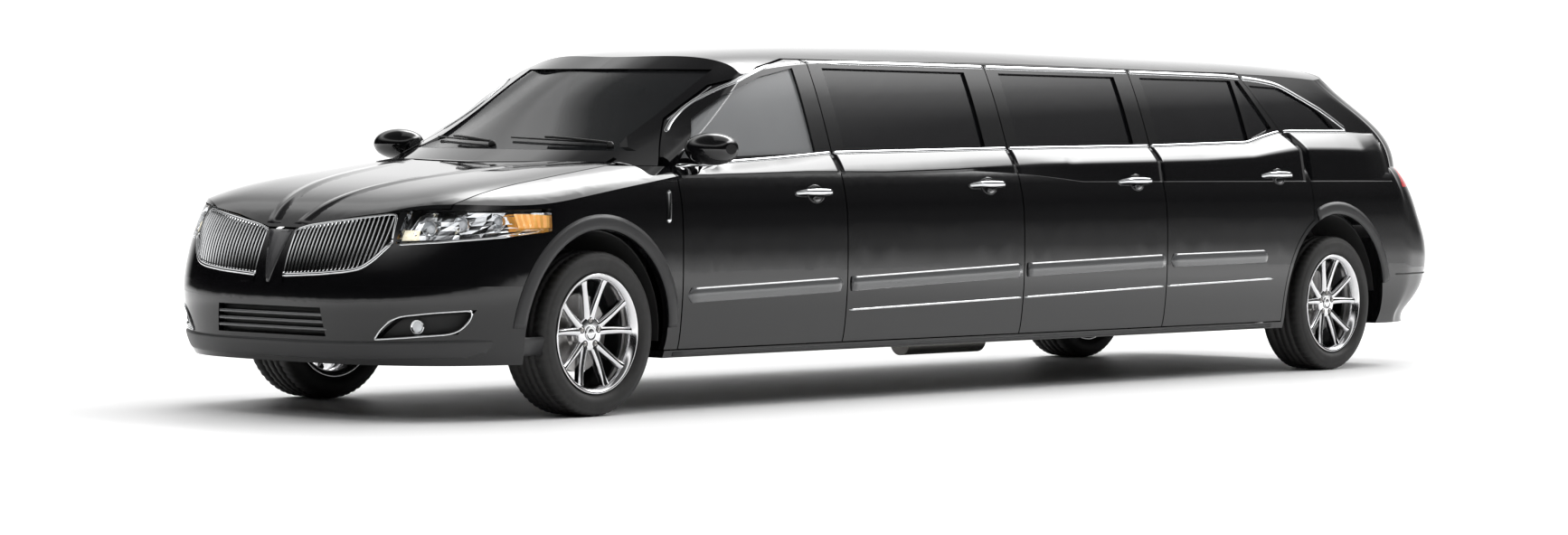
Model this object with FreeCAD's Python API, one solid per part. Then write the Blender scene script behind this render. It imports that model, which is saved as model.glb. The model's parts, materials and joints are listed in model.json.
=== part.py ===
# Stretch limousine, eight doors, on a crossover body lengthened behind the front doors
import FreeCAD, Part
import math
import os

Vector = FreeCAD.Vector
os.makedirs("parts", exist_ok=True)
doc = FreeCAD.newDocument("StretchLimousine")

# Driving dimensions in millimetres
DIMENSIONS = (
    ("wheelbase", 6043), ("front_overhang", 1115), ("rear_overhang", 1242),
    ("body_width", 1930), ("body_height", 1712), ("cab_length", 1740),
    ("door_depth", 100), ("frame_depth", 45), ("roof_depth", 40), ("panel_depth", 30),
    ("door_gap", 8), ("panel_gap", 6), ("cowl_gap", 50),
    ("hinge_setback", 90), ("hinge_inset", 22),
    ("pin_radius", 5), ("knuckle_radius", 10), ("pin_clearance", 0.3), ("knuckle_height", 44),
    ("bracket_depth", 10), ("post_offset", 148), ("post_depth", 50), ("post_width", 150),
    ("upper_post_offset", 110), ("upper_post_depth", 45), ("rocker_height", 38),
    ("glass_setback", 14), ("glass_depth", 5), ("seal_clearance", 0.3),
    ("track_width", 1656), ("tyre_radius", 369), ("tyre_width", 255), ("rim_radius", 269),
    ("rim_width", 236), ("hub_radius", 78), ("spoke_depth", 46), ("lug_circle", 114.3),
    ("bore_radius", 35), ("brake_radius", 176), ("brake_depth", 28), ("arch_radius", 462),
    ("rear_arch_radius", 490), ("liner_depth", 6), ("liner_clearance", 12), ("floor_depth", 34),
    ("arch_flare", 30),
    ("steer_gap", 5), ("wheel_gap", 3), ("axle_radius", 24), ("steering_wheel_radius", 190),
    ("steering_grip_radius", 15), ("column_radius", 22), ("strut_offset", 114), ("seat_width", 540), ("seat_length", 520),
    ("seat_height", 240), ("backrest_height", 600), ("backrest_depth", 130),
    ("engine_length", 620), ("engine_width", 560), ("engine_height", 520),
    ("shaft_radius", 38), ("pipe_radius", 32), ("silencer_radius", 105),
    ("bonnet_depth", 26), ("lug_depth", 12), ("lug_radius", 12), ("notch_width", 34), ("pillar_width", 42),
    ("mirror_reach", 115), ("mirror_rise", 74), ("mirror_length", 118), ("overrun", 700),
)
sheet = doc.addObject("Spreadsheet::Sheet", "Dimensions")
for row, (alias, value) in enumerate(DIMENSIONS, start=1):
    sheet.set("A%d" % row, alias)
    sheet.set("B%d" % row, str(value))
    sheet.setAlias("B%d" % row, alias)
doc.recompute()


def size(alias):
    return float(sheet.get(alias))


half_width = size("body_width") / 2
height = size("body_height")
overrun = size("overrun")
front_axle = (size("wheelbase") + size("rear_overhang") - size("front_overhang")) / 2
rear_axle = front_axle - size("wheelbase")
mid_length = size("wheelbase") - size("cab_length")
wheel_y = size("track_width") / 2
wheel_z = size("tyre_radius")


def nose(share):
    return front_axle + share * size("front_overhang")


def cab(share):
    return front_axle - share * size("cab_length")


def mid(share):
    return cab(1) - share * mid_length


def tail(share):
    return rear_axle - share * size("rear_overhang")


def up(share):
    return share * height


def out(share):
    return share * half_width


# Solids made in plain steps
def box(x0, x1, y0, y1, z0, z1):
    return Part.makeBox(x1 - x0, y1 - y0, z1 - z0, Vector(x0, y0, z0))


def cylinder(radius, start, end):
    run = end.sub(start)
    return Part.makeCylinder(radius, run.Length, start, run)


def polygon(points):
    return Part.Face(Part.makePolygon(list(points) + [points[0]]))


def side_prism(points, y0, y1):
    return polygon([Vector(x, y0, z) for x, z in points]).extrude(Vector(0, y1 - y0, 0))


def front_prism(points, x0, x1):
    return polygon([Vector(x0, y, z) for y, z in points]).extrude(Vector(x1 - x0, 0, 0))


def plan_prism(points, z0, z1):
    return polygon([Vector(x, y, z0) for x, y in points]).extrude(Vector(0, 0, z1 - z0))


def mirrored(shape):
    return shape.mirror(Vector(0, 0, 0), Vector(0, 1, 0))


def both_sides(shape):
    return Part.makeCompound([shape, mirrored(shape)])


def smooth_edge(points, start=None, end=None):
    curve = Part.BSplineCurve()
    if start is None:
        curve.interpolate(Points=points)
    else:
        curve.interpolate(Points=points, InitialTangent=start, FinalTangent=end)
    return curve.toShape()


# Lower body: height, half width, nose reach and tail reach as shares
lower_section_shares = (
    (0.143, 0.953, 0.950, 0.780), (0.199, 0.981, 0.985, 0.800), (0.263, 0.993, 1.000, 0.950),
    (0.339, 1.000, 1.000, 1.000), (0.409, 1.000, 0.970, 0.985), (0.497, 0.9955, 0.900, 0.890),
    (0.555, 0.985, 0.830, 0.830), (0.602, 0.966, 0.755, 0.775), (0.637, 0.944, 0.690, 0.720),
    (0.660, 0.905, 0.640, 0.690),
)
nose_start_share = 0.09
tail_start_share = 0.207
corner_angle_shares = (1.0, 0.82, 0.64, 0.46, 0.26, 0.0)


# Plan outline of a rounded end, from its centre line out to the side
def rounded_end(x_start, reach, width, z, power, facing):
    points = []
    for share in corner_angle_shares:
        angle = share * math.pi / 2
        x = x_start + facing * reach * max(math.cos(angle), 0) ** (2.0 / power)
        points.append(Vector(x, width * math.sin(angle) ** (2.0 / power), z))
    points[0].x = x_start
    return points + [Vector(p.x, -p.y, z) for p in reversed(points[:-1])]


def ring(front, back):
    forward = Vector(1, 0, 0)
    rearward = Vector(-1, 0, 0)
    back = list(reversed(back))
    return Part.Wire([
        smooth_edge(front, forward, rearward), Part.makeLine(front[-1], back[0]),
        smooth_edge(back, rearward, forward), Part.makeLine(back[-1], front[0]),
    ])


def lower_solid(inset):
    rings = []
    for rise, width, nose_reach, tail_reach in lower_section_shares:
        z = up(rise)
        reach = size("front_overhang") * (1 - nose_start_share) * nose_reach - inset
        back_reach = size("rear_overhang") * (1 - tail_start_share) * tail_reach - inset
        front = rounded_end(nose(nose_start_share), reach, out(width) - inset, z, 3, 1)
        back = rounded_end(tail(tail_start_share), back_reach, out(width) - inset, z, 5, -1)
        rings.append(ring(front, back))
    return Part.makeLoft(rings, True, False)


# Upper body: height, half width, screen centre, screen wrap, tail edge
upper_section_shares = (
    (0.590, 0.940, -0.057, 0.240, 0.775), (0.660, 0.905, 0.099, 0.224, 0.765),
    (0.760, 0.845, 0.318, 0.184, 0.730), (0.860, 0.780, 0.494, 0.158, 0.520),
    (0.946, 0.713, 0.647, 0.144, 0.345), (1.050, 0.640, 0.833, 0.126, 0.140),
)
screen_wrap_shares = ((0, 0), (0.14, 0.42), (0.40, 0.70), (0.62, 0.84), (0.82, 0.95), (1, 1))
tail_corner_share = 0.5


def upper_solid(inset):
    rings = []
    for rise, width, screen, wrap, back_edge in upper_section_shares:
        z = up(rise)
        side = out(width) - inset
        x_screen = cab(screen) - 1.6 * inset
        depth = wrap * size("cab_length")
        front = [Vector(x_screen - depth * dx, side * dy, z) for dx, dy in reversed(screen_wrap_shares)]
        front += [Vector(p.x, -p.y, z) for p in reversed(front[:-1])]
        corner = tail_corner_share * size("rear_overhang")
        back = rounded_end(tail(back_edge) + corner + 1.2 * inset, corner, side, z, 5, -1)
        rings.append(ring(front, back))
    return Part.makeLoft(rings, True, False)


# Crowned tops: long profiles with the drop towards the sides
bonnet_profile_shares = (
    ("nose", 1.12, 0.300), ("nose", 1.01, 0.420), ("nose", 0.915, 0.484), ("nose", 0.83, 0.530),
    ("nose", 0.68, 0.574), ("nose", 0.45, 0.608), ("nose", 0.18, 0.632), ("cab", 0.06, 0.654),
    ("cab", 0.25, 0.676), ("cab", 0.50, 0.705), ("cab", 0.85, 0.745), ("mid", 0.15, 0.78),
    ("mid", 0.45, 0.80), ("mid", 0.75, 0.80), ("tail", 0.1, 0.80), ("tail", 1.2, 0.80),
)
roof_profile_shares = (
    ("cab", -0.05, 0.800), ("cab", 0.23, 0.866), ("cab", 0.50, 0.918), ("cab", 0.70, 0.957),
    ("cab", 0.95, 0.982), ("mid", 0.12, 0.994), ("mid", 0.28, 1.000), ("mid", 0.52, 0.999),
    ("mid", 0.78, 0.995), ("mid", 1.0, 0.988), ("tail", 0.30, 0.978), ("tail", 0.66, 0.957),
    ("tail", 1.1, 0.92),
)
crown_shares = (-1.36, -1.12, -0.90, -0.68, -0.40, 0.0, 0.40, 0.68, 0.90, 1.12, 1.36)
places = {"nose": nose, "cab": cab, "mid": mid, "tail": tail}


def crowned_solid(profile, side, drop, power, inset):
    wires = []
    for share in crown_shares:
        lowered = drop * abs(share) ** power + inset
        points = [Vector(places[zone](s), share * side, up(z) - lowered) for zone, s, z in profile]
        wires.append(Part.Wire([smooth_edge(points)]))
    skin = Part.makeLoft(wires, False, False)
    return skin.Faces[0].extrude(Vector(0, 0, -2 * height))


bonnet_drop_share = 0.082
roof_drop_share = 0.05


def bonnet_solid(inset):
    return crowned_solid(bonnet_profile_shares, half_width, up(bonnet_drop_share), 6, inset)


def roof_solid(inset):
    return crowned_solid(roof_profile_shares, out(0.725), up(roof_drop_share), 4, inset)


def body_solid(side_inset, frame_inset, roof_inset, bonnet_inset):
    lower = lower_solid(side_inset).common(bonnet_solid(bonnet_inset))
    upper = upper_solid(frame_inset).common(roof_solid(roof_inset))
    return lower.fuse(upper)


outer = body_solid(0, 0, 0, 0)
inner = body_solid(size("door_depth"), size("frame_depth"), size("roof_depth"), size("door_depth"))
thin_inner = body_solid(size("panel_depth"), size("frame_depth"), size("roof_depth"), size("bonnet_depth"))
post_outer = body_solid(
    size("post_offset"), size("upper_post_offset"), size("roof_depth") - size("panel_gap"), size("post_offset"))
post_inner = body_solid(
    size("post_offset") + size("post_depth"), size("upper_post_offset") + size("upper_post_depth"),
    size("roof_depth") + size("panel_depth"), size("post_offset") + size("post_depth"))
wall = outer.cut(inner)
thin_wall = outer.cut(thin_inner)

# Doors: front cut, rear cut at the skin, as places along the body
door_cuts = (cab(0.316), cab(1), mid(0.327), mid(0.618), mid(0.947))
door_foot = up(0.166)
door_head = up(0.9474)
hinge_y = half_width - size("hinge_inset")
hinge_heights = (up(0.285), up(0.480))


def skin_half_width(z):
    table = [(up(r), out(w)) for r, w, _, _ in lower_section_shares]
    table += [(up(r), out(w)) for r, w, _, _, _ in upper_section_shares[2:]]
    for (z0, y0), (z1, y1) in zip(table, table[1:]):
        if z <= z1:
            return y0 + (y1 - y0) * (z - z0) / (z1 - z0)
    return table[-1][1]


def hinge_x(index):
    return door_cuts[index] - size("door_gap") / 2 - size("hinge_setback")


leaning_edge_shares = ((0.62, 0.947), (0.716, 0.9386), (0.766, 0.9163), (0.9474, 0.8587), (0.97, 0.8587))
sweep_height_shares = (0.143, 0.199, 0.263, 0.339, 0.409, 0.497, 0.555, 0.602, 0.62, 0.66, 0.716, 0.766, 0.86, 0.9474,
                       0.97)


def rear_edge_x(index, rise):
    if index < 3 or rise <= leaning_edge_shares[0][0]:
        return door_cuts[index + 1]
    for (low, foot), (high, head) in zip(leaning_edge_shares, leaning_edge_shares[1:]):
        if rise <= high:
            return mid(foot + (head - foot) * (rise - low) / (high - low))
    return mid(leaning_edge_shares[-1][1])


def rear_sweep(index, gap):
    axis_x = hinge_x(index)
    edge = []
    for rise in sweep_height_shares:
        reach = axis_x - rear_edge_x(index, rise) - size("door_gap") / 2
        radius = math.hypot(reach, hinge_y - skin_half_width(up(rise))) + gap
        edge.append(Vector(radius, 0, up(rise)))
    face = polygon([Vector(0, 0, edge[0].z)] + edge + [Vector(0, 0, edge[-1].z)])
    sweep = face.revolve(Vector(0, 0, 0), Vector(0, 0, 1), 360)
    sweep.translate(Vector(axis_x, hinge_y, 0))
    return sweep


def door_outline(index, gap):
    front = door_cuts[index] - size("door_gap") / 2 + gap
    back = door_cuts[index + 1] - size("door_gap")
    foot = door_foot - gap
    head = door_head + gap
    if index == 0:
        return [(front, foot), (front, up(0.675) + gap), (cab(0.45) + gap, up(0.775) + gap),
                (cab(0.62) + gap, up(0.868) + gap), (cab(0.80) + gap, up(0.922) + gap),
                (cab(0.94) + gap, head), (back, head), (back, foot)]
    return [(front, foot), (front, head), (back, head), (back, foot)]


door_inner_y = out(0.65)


def door_zone(index, gap):
    zone = side_prism(door_outline(index, gap), door_inner_y - gap, half_width + overrun)
    zone = zone.common(rear_sweep(index, gap))
    if index == 3:
        arch = cylinder(size("rear_arch_radius") + size("arch_flare") - gap,
                        Vector(rear_axle, half_width / 4, wheel_z),
                        Vector(rear_axle, half_width + overrun, wheel_z))
        zone = zone.cut(arch)
    return zone


window_shares = (
    (("cab", 0.365, 0.672), ("cab", 0.490, 0.779), ("cab", 0.610, 0.844), ("cab", 0.78, 0.897),
     ("cab", 0.930, 0.924), ("cab", 0.930, 0.688)),
    (("mid", 0.0235, 0.704), ("mid", 0.0235, 0.926), ("mid", 0.285, 0.926), ("mid", 0.285, 0.704)),
    (("mid", 0.351, 0.715), ("mid", 0.351, 0.926), ("mid", 0.585, 0.926), ("mid", 0.585, 0.715)),
    (("mid", 0.639, 0.728), ("mid", 0.639, 0.926), ("mid", 0.838, 0.926), ("mid", 0.838, 0.735)),
)
rear_light_shares = (
    ("mid", 0.847, 0.742), ("mid", 0.847, 0.926), ("mid", 0.8555, 0.926), ("mid", 0.898, 0.776))
quarter_shares = (
    ("mid", 0.876, 0.912), ("mid", 0.917, 0.777), ("mid", 1.045, 0.780), ("mid", 1.022, 0.828),
    ("mid", 0.993, 0.876), ("mid", 0.965, 0.905))


def opening(shares, margin):
    points = [(places[zone](s), up(z)) for zone, s, z in shares]
    prism = side_prism(points, half_width / 3, half_width + overrun)
    return prism if margin == 0 else prism.makeOffsetShape(-margin, 0.01)


upper_pane = upper_solid(size("glass_setback")).cut(upper_solid(size("glass_setback") + size("glass_depth")))


def hinge_knuckles(index):
    solids = []
    for z in hinge_heights:
        low = Vector(hinge_x(index), hinge_y, z - size("knuckle_height") / 2)
        high = Vector(hinge_x(index), hinge_y, z + size("knuckle_height") / 2)
        solids.append(cylinder(size("knuckle_radius"), low, high))
    return solids


def hinge_pocket(index):
    radius = size("knuckle_radius")
    half = size("knuckle_height") / 2
    reach = half + size("bracket_depth") + size("panel_gap")
    back = hinge_x(index) - 1.8 * radius
    front = door_cuts[index] + overrun / 10
    solids = []
    for z in hinge_heights:
        solids.append(box(back, front, half_width / 2, hinge_y + radius / 2, z - reach, z + reach))
        solids.append(box(back, front, half_width / 2, hinge_y + 1.3 * radius, z - reach, z - half))
    return solids


mirror_centre = Vector(cab(0.402), out(1.036), up(0.698))


mirror_section_shares = ((-1, 0.40), (-0.72, 0.80), (-0.20, 1.0), (0.35, 0.97), (0.78, 0.74), (1, 0.32))


def make_mirror():
    rings = []
    for reach, share in mirror_section_shares:
        centre = mirror_centre.add(Vector(0, reach * size("mirror_reach"), 0))
        oval = Part.Ellipse(centre, share * size("mirror_length"), share * size("mirror_rise"))
        oval.Axis = Vector(0, 1, 0)
        oval.XAxis = Vector(1, 0, 0)
        rings.append(Part.Wire([oval.toShape()]))
    back = mirror_centre.x - 0.45 * size("mirror_length")
    housing = Part.makeLoft(rings, True, False).cut(box(back - overrun, back, 0, half_width + overrun, 0, height))
    stalk = cylinder(size("column_radius"), Vector(mirror_centre.x, out(0.885), up(0.655)), mirror_centre)
    return housing.fuse(stalk)


def make_door(index):
    door = wall.common(door_zone(index, 0))
    openings = [opening(window_shares[index], 0)]
    if index == 3:
        openings.append(opening(rear_light_shares, 0))
    for piece in openings + hinge_pocket(index):
        door = door.cut(piece)
    added = hinge_knuckles(index)
    if index == 0:
        added.append(make_mirror())
    door = door.multiFuse(added)
    bores = []
    for z in hinge_heights:
        reach = size("knuckle_height")
        bores.append(cylinder(size("pin_radius") + size("pin_clearance"),
                              Vector(hinge_x(index), hinge_y, z - reach),
                              Vector(hinge_x(index), hinge_y, z + reach)))
    return door.cut(Part.makeCompound(bores))


def make_door_glass(index):
    panes = [upper_pane.common(opening(window_shares[index], 0))]
    if index == 3:
        panes.append(upper_pane.common(opening(rear_light_shares, 0)))
    return Part.makeCompound(panes)


def make_hinge_brackets(index):
    solids = []
    for z in hinge_heights:
        low = Vector(hinge_x(index), hinge_y, z - size("knuckle_height") / 2 - size("bracket_depth"))
        pin = cylinder(size("pin_radius"), low, Vector(low.x, low.y, z + size("knuckle_height") / 2))
        foot_y = half_width - size("post_offset") - size("post_depth") / 2
        plate = box(low.x - size("knuckle_radius"), low.x + size("knuckle_radius"), foot_y,
                    hinge_y + size("pin_radius"), low.z, low.z + size("bracket_depth") - size("pin_clearance"))
        solids.append(pin.fuse(plate))
    return solids


def publish(name, shape):
    if shape.isNull() or not shape.isValid():
        raise RuntimeError("bad shape: " + name)
    feature = doc.addObject("Part::Feature", name)
    feature.Label = name
    feature.Shape = shape
    feature.Placement = FreeCAD.Placement(shape.Placement)
    return feature


# Body shell: upper body, quarters, rockers and posts
def wheel_tunnel(x, radius, inner_y):
    return cylinder(radius, Vector(x, inner_y, wheel_z), Vector(x, half_width + overrun, wheel_z))


front_house_y = out(0.50)
rear_house_y = out(0.62)
quarter_opening = opening(quarter_shares, 0)
front_cut = door_cuts[0] + size("door_gap") / 2
fender_top = up(0.652)


def screen_opening(margin):
    foot = up(0.690) - margin
    head = up(0.915) + margin
    low = out(0.765) + margin
    high = out(0.605) + margin
    outline = [(-low, foot), (low, foot), (high, head), (-high, head)]
    return front_prism(outline, cab(0.85), nose(0.2))


bonnet_line_shares = ((0.0, 0.486), (0.10, 0.486), (0.36, 0.515), (0.638, 0.5355), (0.80, 0.5415), (1.0, 0.546))


def bonnet_zone(margin):
    plan = [(cab(0.05), 0), (cab(0.085), out(0.36)), (cab(0.165), out(0.60)), (cab(0.205), out(0.745)),
            (nose(0.30), out(0.775)), (nose(0.62), out(0.80)), (nose(1) + overrun, out(0.80))]
    plan = [(x - margin, y + (margin if y else 0)) for x, y in plan]
    plan += [(x, -y) for x, y in reversed(plan[1:])]
    line = [(out(y), up(z) - margin) for y, z in bonnet_line_shares]
    line = line + [(out(1), height)]
    line += [(-y, z) for y, z in reversed(line)]
    return plan_prism(plan, up(0.3), height).common(front_prism(line, cab(1), nose(1) + overrun))


tailgate_line_shares = ((0.72, 0.345), (0.72, 0.65), (0.71, 0.77), (0.685, 0.93), (0.66, 1.05))


def tailgate_zone(margin):
    side = [(out(y) + margin, up(z)) for y, z in tailgate_line_shares]
    side[0] = (side[0][0], side[0][1] - margin)
    outline = side + [(-y, z) for y, z in reversed(side)]
    return front_prism(outline, tail(2), tail(0.235) + margin)


rear_window_shares = ((-0.56, 0.74), (0.56, 0.74), (0.50, 0.925), (-0.50, 0.925))


def rear_window():
    points = [(out(y), up(z)) for y, z in rear_window_shares]
    return front_prism(points, tail(2), tail(0.30))


def front_pillar(margin):
    return both_sides(door_zone(0, size("pillar_width") + margin))


def slab(x0, x1, z0, z1):
    return box(x0, x1, -half_width - overrun, half_width + overrun, z0, z1)


bumper_line = up(0.345)
rear_bumper_line = up(0.325)
bumper_back = nose(0.25)
rear_bumper_back = tail(0.42)
gap = size("panel_gap")
seal = size("seal_clearance")


def door_band():
    band = [(door_cuts[0] + overrun / 10, door_foot - gap), (door_cuts[0] + overrun / 10, up(0.650))]
    band += door_outline(0, gap)[1:6] + door_outline(3, gap)[2:]
    solid = side_prism(band, door_inner_y - 3 * gap, half_width + overrun)
    reach = rear_sweep(3, gap).fuse(box(hinge_x(3) - gap, nose(0), 0, half_width + overrun, up(0.143), up(0.97)))
    return solid.common(reach)


def rear_arch(growth):
    return cylinder(size("rear_arch_radius") + growth, Vector(rear_axle, half_width / 4, wheel_z),
                    Vector(rear_axle, half_width + overrun, wheel_z))


def left_of_centre(shape):
    return shape.common(box(tail(2), nose(2), 0, half_width + overrun, -overrun, height + overrun))


def largest(shape):
    return max(shape.Solids, key=lambda solid: solid.Volume)


cabin_half_width = out(lower_section_shares[0][1]) - size("post_offset") - size("post_depth") - seal


def make_posts():
    hoops = left_of_centre(post_outer.cut(post_inner))
    pieces = []
    for index in range(1, 4):
        back = hinge_x(index) - 2.5 * size("knuckle_radius")
        pieces += hoops.common(slab(back, back + size("post_width"), 0, height + overrun)).Solids
    back = hinge_x(0) - 2.5 * size("knuckle_radius")
    side = box(back, back + size("post_width"), out(0.75), half_width, 0, up(0.63))
    pieces.append(largest(hoops.common(side)))
    middle = back + size("post_width") / 2
    pieces.append(box(middle, cab(0.24), out(0.75), out(0.785), up(0.54), up(0.625)))
    pieces.append(box(middle, bonnet_pin_x + size("lug_radius"), bonnet_lug_y - bracket_reach - size("bracket_depth"),
                      out(0.785), up(0.60), up(0.625)))
    return pieces


def make_rocker():
    back = rear_axle + size("rear_arch_radius") + size("arch_flare") - overrun / 10
    return outer.common(box(back, front_axle - size("arch_radius"), cabin_half_width - size("panel_depth"),
                            half_width, 0, door_foot - gap))


def make_body_shell():
    shell = left_of_centre(wall).common(slab(tail(2), cab(0.03), 0, height + overrun))
    shell = shell.cut(slab(front_cut, nose(2), 0, fender_top))
    shell = shell.cut(slab(tail(2), rear_bumper_back + seal, 0, rear_bumper_line + seal))
    shell = shell.cut(door_band().cut(rear_arch(size("arch_flare") - gap)))
    recess = bonnet_zone(size("cowl_gap")).common(slab(cab(1), nose(2), up(0.631), height))
    screen = screen_opening(0).cut(door_zone(0, size("pillar_width")))
    for piece in (recess, screen, tailgate_zone(size("door_gap")), quarter_opening, lamp_zone(0),
                  wheel_tunnel(rear_axle, size("rear_arch_radius"), rear_house_y)):
        shell = shell.cut(piece)
    shell = shell.cut(tailgate_notch()).cut(bonnet_notch())
    half = size("notch_width")
    frame = make_posts() + [make_rocker()] + make_bonnet_brackets()
    frame.append(cylinder(size("pin_radius"), Vector(tailgate_pin_x, tailgate_lug_y - half, tailgate_pin_z),
                          Vector(tailgate_pin_x, tailgate_lug_y + half, tailgate_pin_z)))
    for index in range(4):
        frame += make_hinge_brackets(index)
    shell = shell.multiFuse(frame)
    for tunnel in (wheel_tunnel(rear_axle, size("rear_arch_radius"), rear_house_y),
                   wheel_tunnel(front_axle, size("arch_radius"), front_house_y)):
        shell = shell.cut(tunnel)
    return largest(shell.fuse(mirrored(shell)))


def lamp_zone(margin):
    points = [(tail(0.60) + margin, up(0.590) - margin), (tail(1.2), up(0.590) - margin),
              (tail(1.2), up(0.652) + margin), (tail(0.60) + margin, up(0.652) + margin)]
    return side_prism(points, out(0.775) - margin, half_width + overrun)


def headlamp_zone(margin):
    x0 = nose(0.287) - margin
    points = [(x0, up(0.541) + margin), (nose(0.83), up(0.5335) + margin), (nose(1.2), up(0.5335) + margin),
              (nose(1.2), up(0.449) - margin), (nose(0.80), up(0.452) - margin), (x0, up(0.484) - margin)]
    return side_prism(points, out(0.650) - margin, half_width + overrun)


wing_shares = ((0.093, 0.362), (0.093, 0.482), (0.363, 0.509), (0.618, 0.5285), (0.638, 0.453), (0.528, 0.3855))


def wing_zone():
    return front_prism([(out(y), up(z)) for y, z in wing_shares], nose(0.4), nose(2))


fog_shares = ((0.585, 0.208), (0.700, 0.269), (0.917, 0.286), (0.870, 0.224))


def fog_zone():
    return front_prism([(out(y), up(z)) for y, z in fog_shares], nose(0.2), nose(2))


def intake_zone():
    return front_prism([(-out(0.35), up(0.213)), (out(0.35), up(0.213)), (out(0.33), up(0.286)),
                        (-out(0.33), up(0.286))], nose(0.4), nose(2))


front_tunnel = wheel_tunnel(front_axle, size("arch_radius"), front_house_y)


def bumper_zone():
    low = slab(bumper_back, nose(2), 0, bumper_line)
    beak = box(nose(0.6), nose(2), -out(0.088), out(0.088), bumper_line - gap, up(0.480))
    return low.fuse(beak)


def make_front_bumper():
    bumper = thin_wall.common(bumper_zone()).cut(front_tunnel).cut(mirrored(front_tunnel))
    return bumper.cut(intake_zone()).cut(fog_zone()).cut(mirrored(fog_zone()))


def make_front_fender():
    fender = thin_wall.common(box(front_cut, nose(2), out(0.1), half_width + overrun, 0, fender_top - gap / 2))
    fender = fender.cut(slab(bumper_back - seal, nose(2), 0, bumper_line + seal))
    fender = fender.cut(slab(cab(1), front_axle, 0, door_foot)).cut(box(cab(1), cab(0.1), 0, out(0.745), 0, height))
    return largest(fender.cut(bonnet_zone(gap)).cut(front_tunnel).cut(headlamp_zone(0)).cut(wing_zone()))


def make_rear_bumper():
    bumper = wall.common(slab(tail(2), rear_bumper_back, 0, rear_bumper_line))
    return bumper.cut(rear_arch(0)).cut(mirrored(rear_arch(0)))


lamp_core = lower_solid(2.5 * size("panel_depth"))
nose_shell = outer.cut(lamp_core)


def make_headlamp():
    lamp = nose_shell.common(headlamp_zone(-seal)).common(slab(nose(0), nose(2), 0, height))
    return lamp.cut(bonnet_zone(gap))


def make_tail_lamp():
    return nose_shell.common(lamp_zone(-seal)).common(slab(tail(2), tail(0), 0, height))


def make_grille_wing():
    zone = wing_zone()
    rim = lower_solid(0).cut(lower_solid(size("panel_depth")))
    backing = lower_solid(2 * size("panel_depth")).cut(lower_solid(2.5 * size("panel_depth"))).common(zone)
    bars = []
    first = out(0.093)
    last = out(0.638)
    count = 20
    pitch = (last - first) / count
    for index in range(count):
        y = first + (index + 0.5) * pitch
        bars.append(box(nose(0.5), nose(1.1), y - pitch / 6, y + pitch / 6, up(0.36), up(0.53)))
    body = lower_solid(size("panel_depth") / 3).cut(lower_solid(2 * size("panel_depth")))
    body = body.common(zone)
    bars = body.common(Part.makeCompound(bars))
    return backing.multiFuse(bars.Solids)


bonnet_pin_x = cab(0.221)
bonnet_pin_z = up(0.6425)
bonnet_lug_y = out(0.694)
bracket_reach = size("lug_depth") / 2 + size("steer_gap") + size("bracket_depth") / 2


def bonnet_notch():
    half = size("lug_depth") / 2 + size("panel_gap")
    return box(bonnet_pin_x - 2 * size("lug_radius"), cab(0.1), bonnet_lug_y - half, bonnet_lug_y + half,
               up(0.631), height)


def bonnet_lug(y, depth, foot_z, front_x, margin):
    radius = size("lug_radius")
    points = [(bonnet_pin_x - radius, foot_z), (front_x, foot_z), (front_x, bonnet_pin_z + radius - margin),
              (bonnet_pin_x - radius, bonnet_pin_z + radius - margin)]
    return side_prism(points, y - depth / 2, y + depth / 2)


def make_bonnet():
    bonnet = thin_wall.common(bonnet_zone(0)).common(slab(cab(0.3), nose(2), up(0.3), height))
    radius = size("lug_radius")
    lug = bonnet_lug(bonnet_lug_y, size("lug_depth"), bonnet_pin_z - radius, cab(0.14), size("bracket_depth") / 2)
    bore = cylinder(size("pin_radius") + size("pin_clearance"), Vector(bonnet_pin_x, 0, bonnet_pin_z),
                    Vector(bonnet_pin_x, half_width, bonnet_pin_z))
    lug = lug.cut(bore)
    return bonnet.multiFuse([lug, mirrored(lug)])


def make_bonnet_brackets():
    radius = size("lug_radius")
    solids = [cylinder(size("pin_radius"), Vector(bonnet_pin_x, bonnet_lug_y - bracket_reach, bonnet_pin_z),
                       Vector(bonnet_pin_x, bonnet_lug_y + bracket_reach, bonnet_pin_z))]
    for sign in (-1, 1):
        solids.append(bonnet_lug(bonnet_lug_y + sign * bracket_reach, size("bracket_depth"), up(0.61),
                                 bonnet_pin_x + radius, 0))
    return solids


tailgate_pin_x = tail(0.195)
tailgate_pin_z = up(0.9695)
tailgate_lug_y = out(0.36)


def tailgate_notch():
    half = size("notch_width") / 2
    return box(tail(0.235) - overrun / 10, tailgate_pin_x + 2 * size("lug_radius"), tailgate_lug_y - half,
               tailgate_lug_y + half, up(0.94), height + overrun)


def make_windscreen():
    pane = upper_pane.common(screen_opening(-seal)).common(slab(cab(1), nose(0.5), 0, height))
    for pillar in front_pillar(seal).Solids:
        pane = pane.cut(pillar)
    return largest(pane)


def make_tailgate():
    gate = wall.common(tailgate_zone(0)).common(slab(tail(2), tail(0.235), rear_bumper_line + gap, height))
    radius = size("lug_radius")
    lug = box(tail(0.26), tailgate_pin_x + radius, tailgate_lug_y - radius, tailgate_lug_y + radius,
              tailgate_pin_z - radius, tailgate_pin_z + radius)
    bore = cylinder(size("pin_radius") + size("pin_clearance"), Vector(tailgate_pin_x, 0, tailgate_pin_z),
                    Vector(tailgate_pin_x, half_width, tailgate_pin_z))
    lug = lug.cut(bore)
    return gate.cut(rear_window()).multiFuse([lug, mirrored(lug)])


def make_tailgate_glass():
    return upper_pane.common(rear_window())


def make_quarter_glass():
    return upper_pane.common(quarter_opening)


# Running gear
def revolved(points, axis_y_shift=0):
    face = polygon([Vector(0, y, r) for r, y in points])
    return face.revolve(Vector(0, 0, 0), Vector(0, 1, 0), 360)


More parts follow.
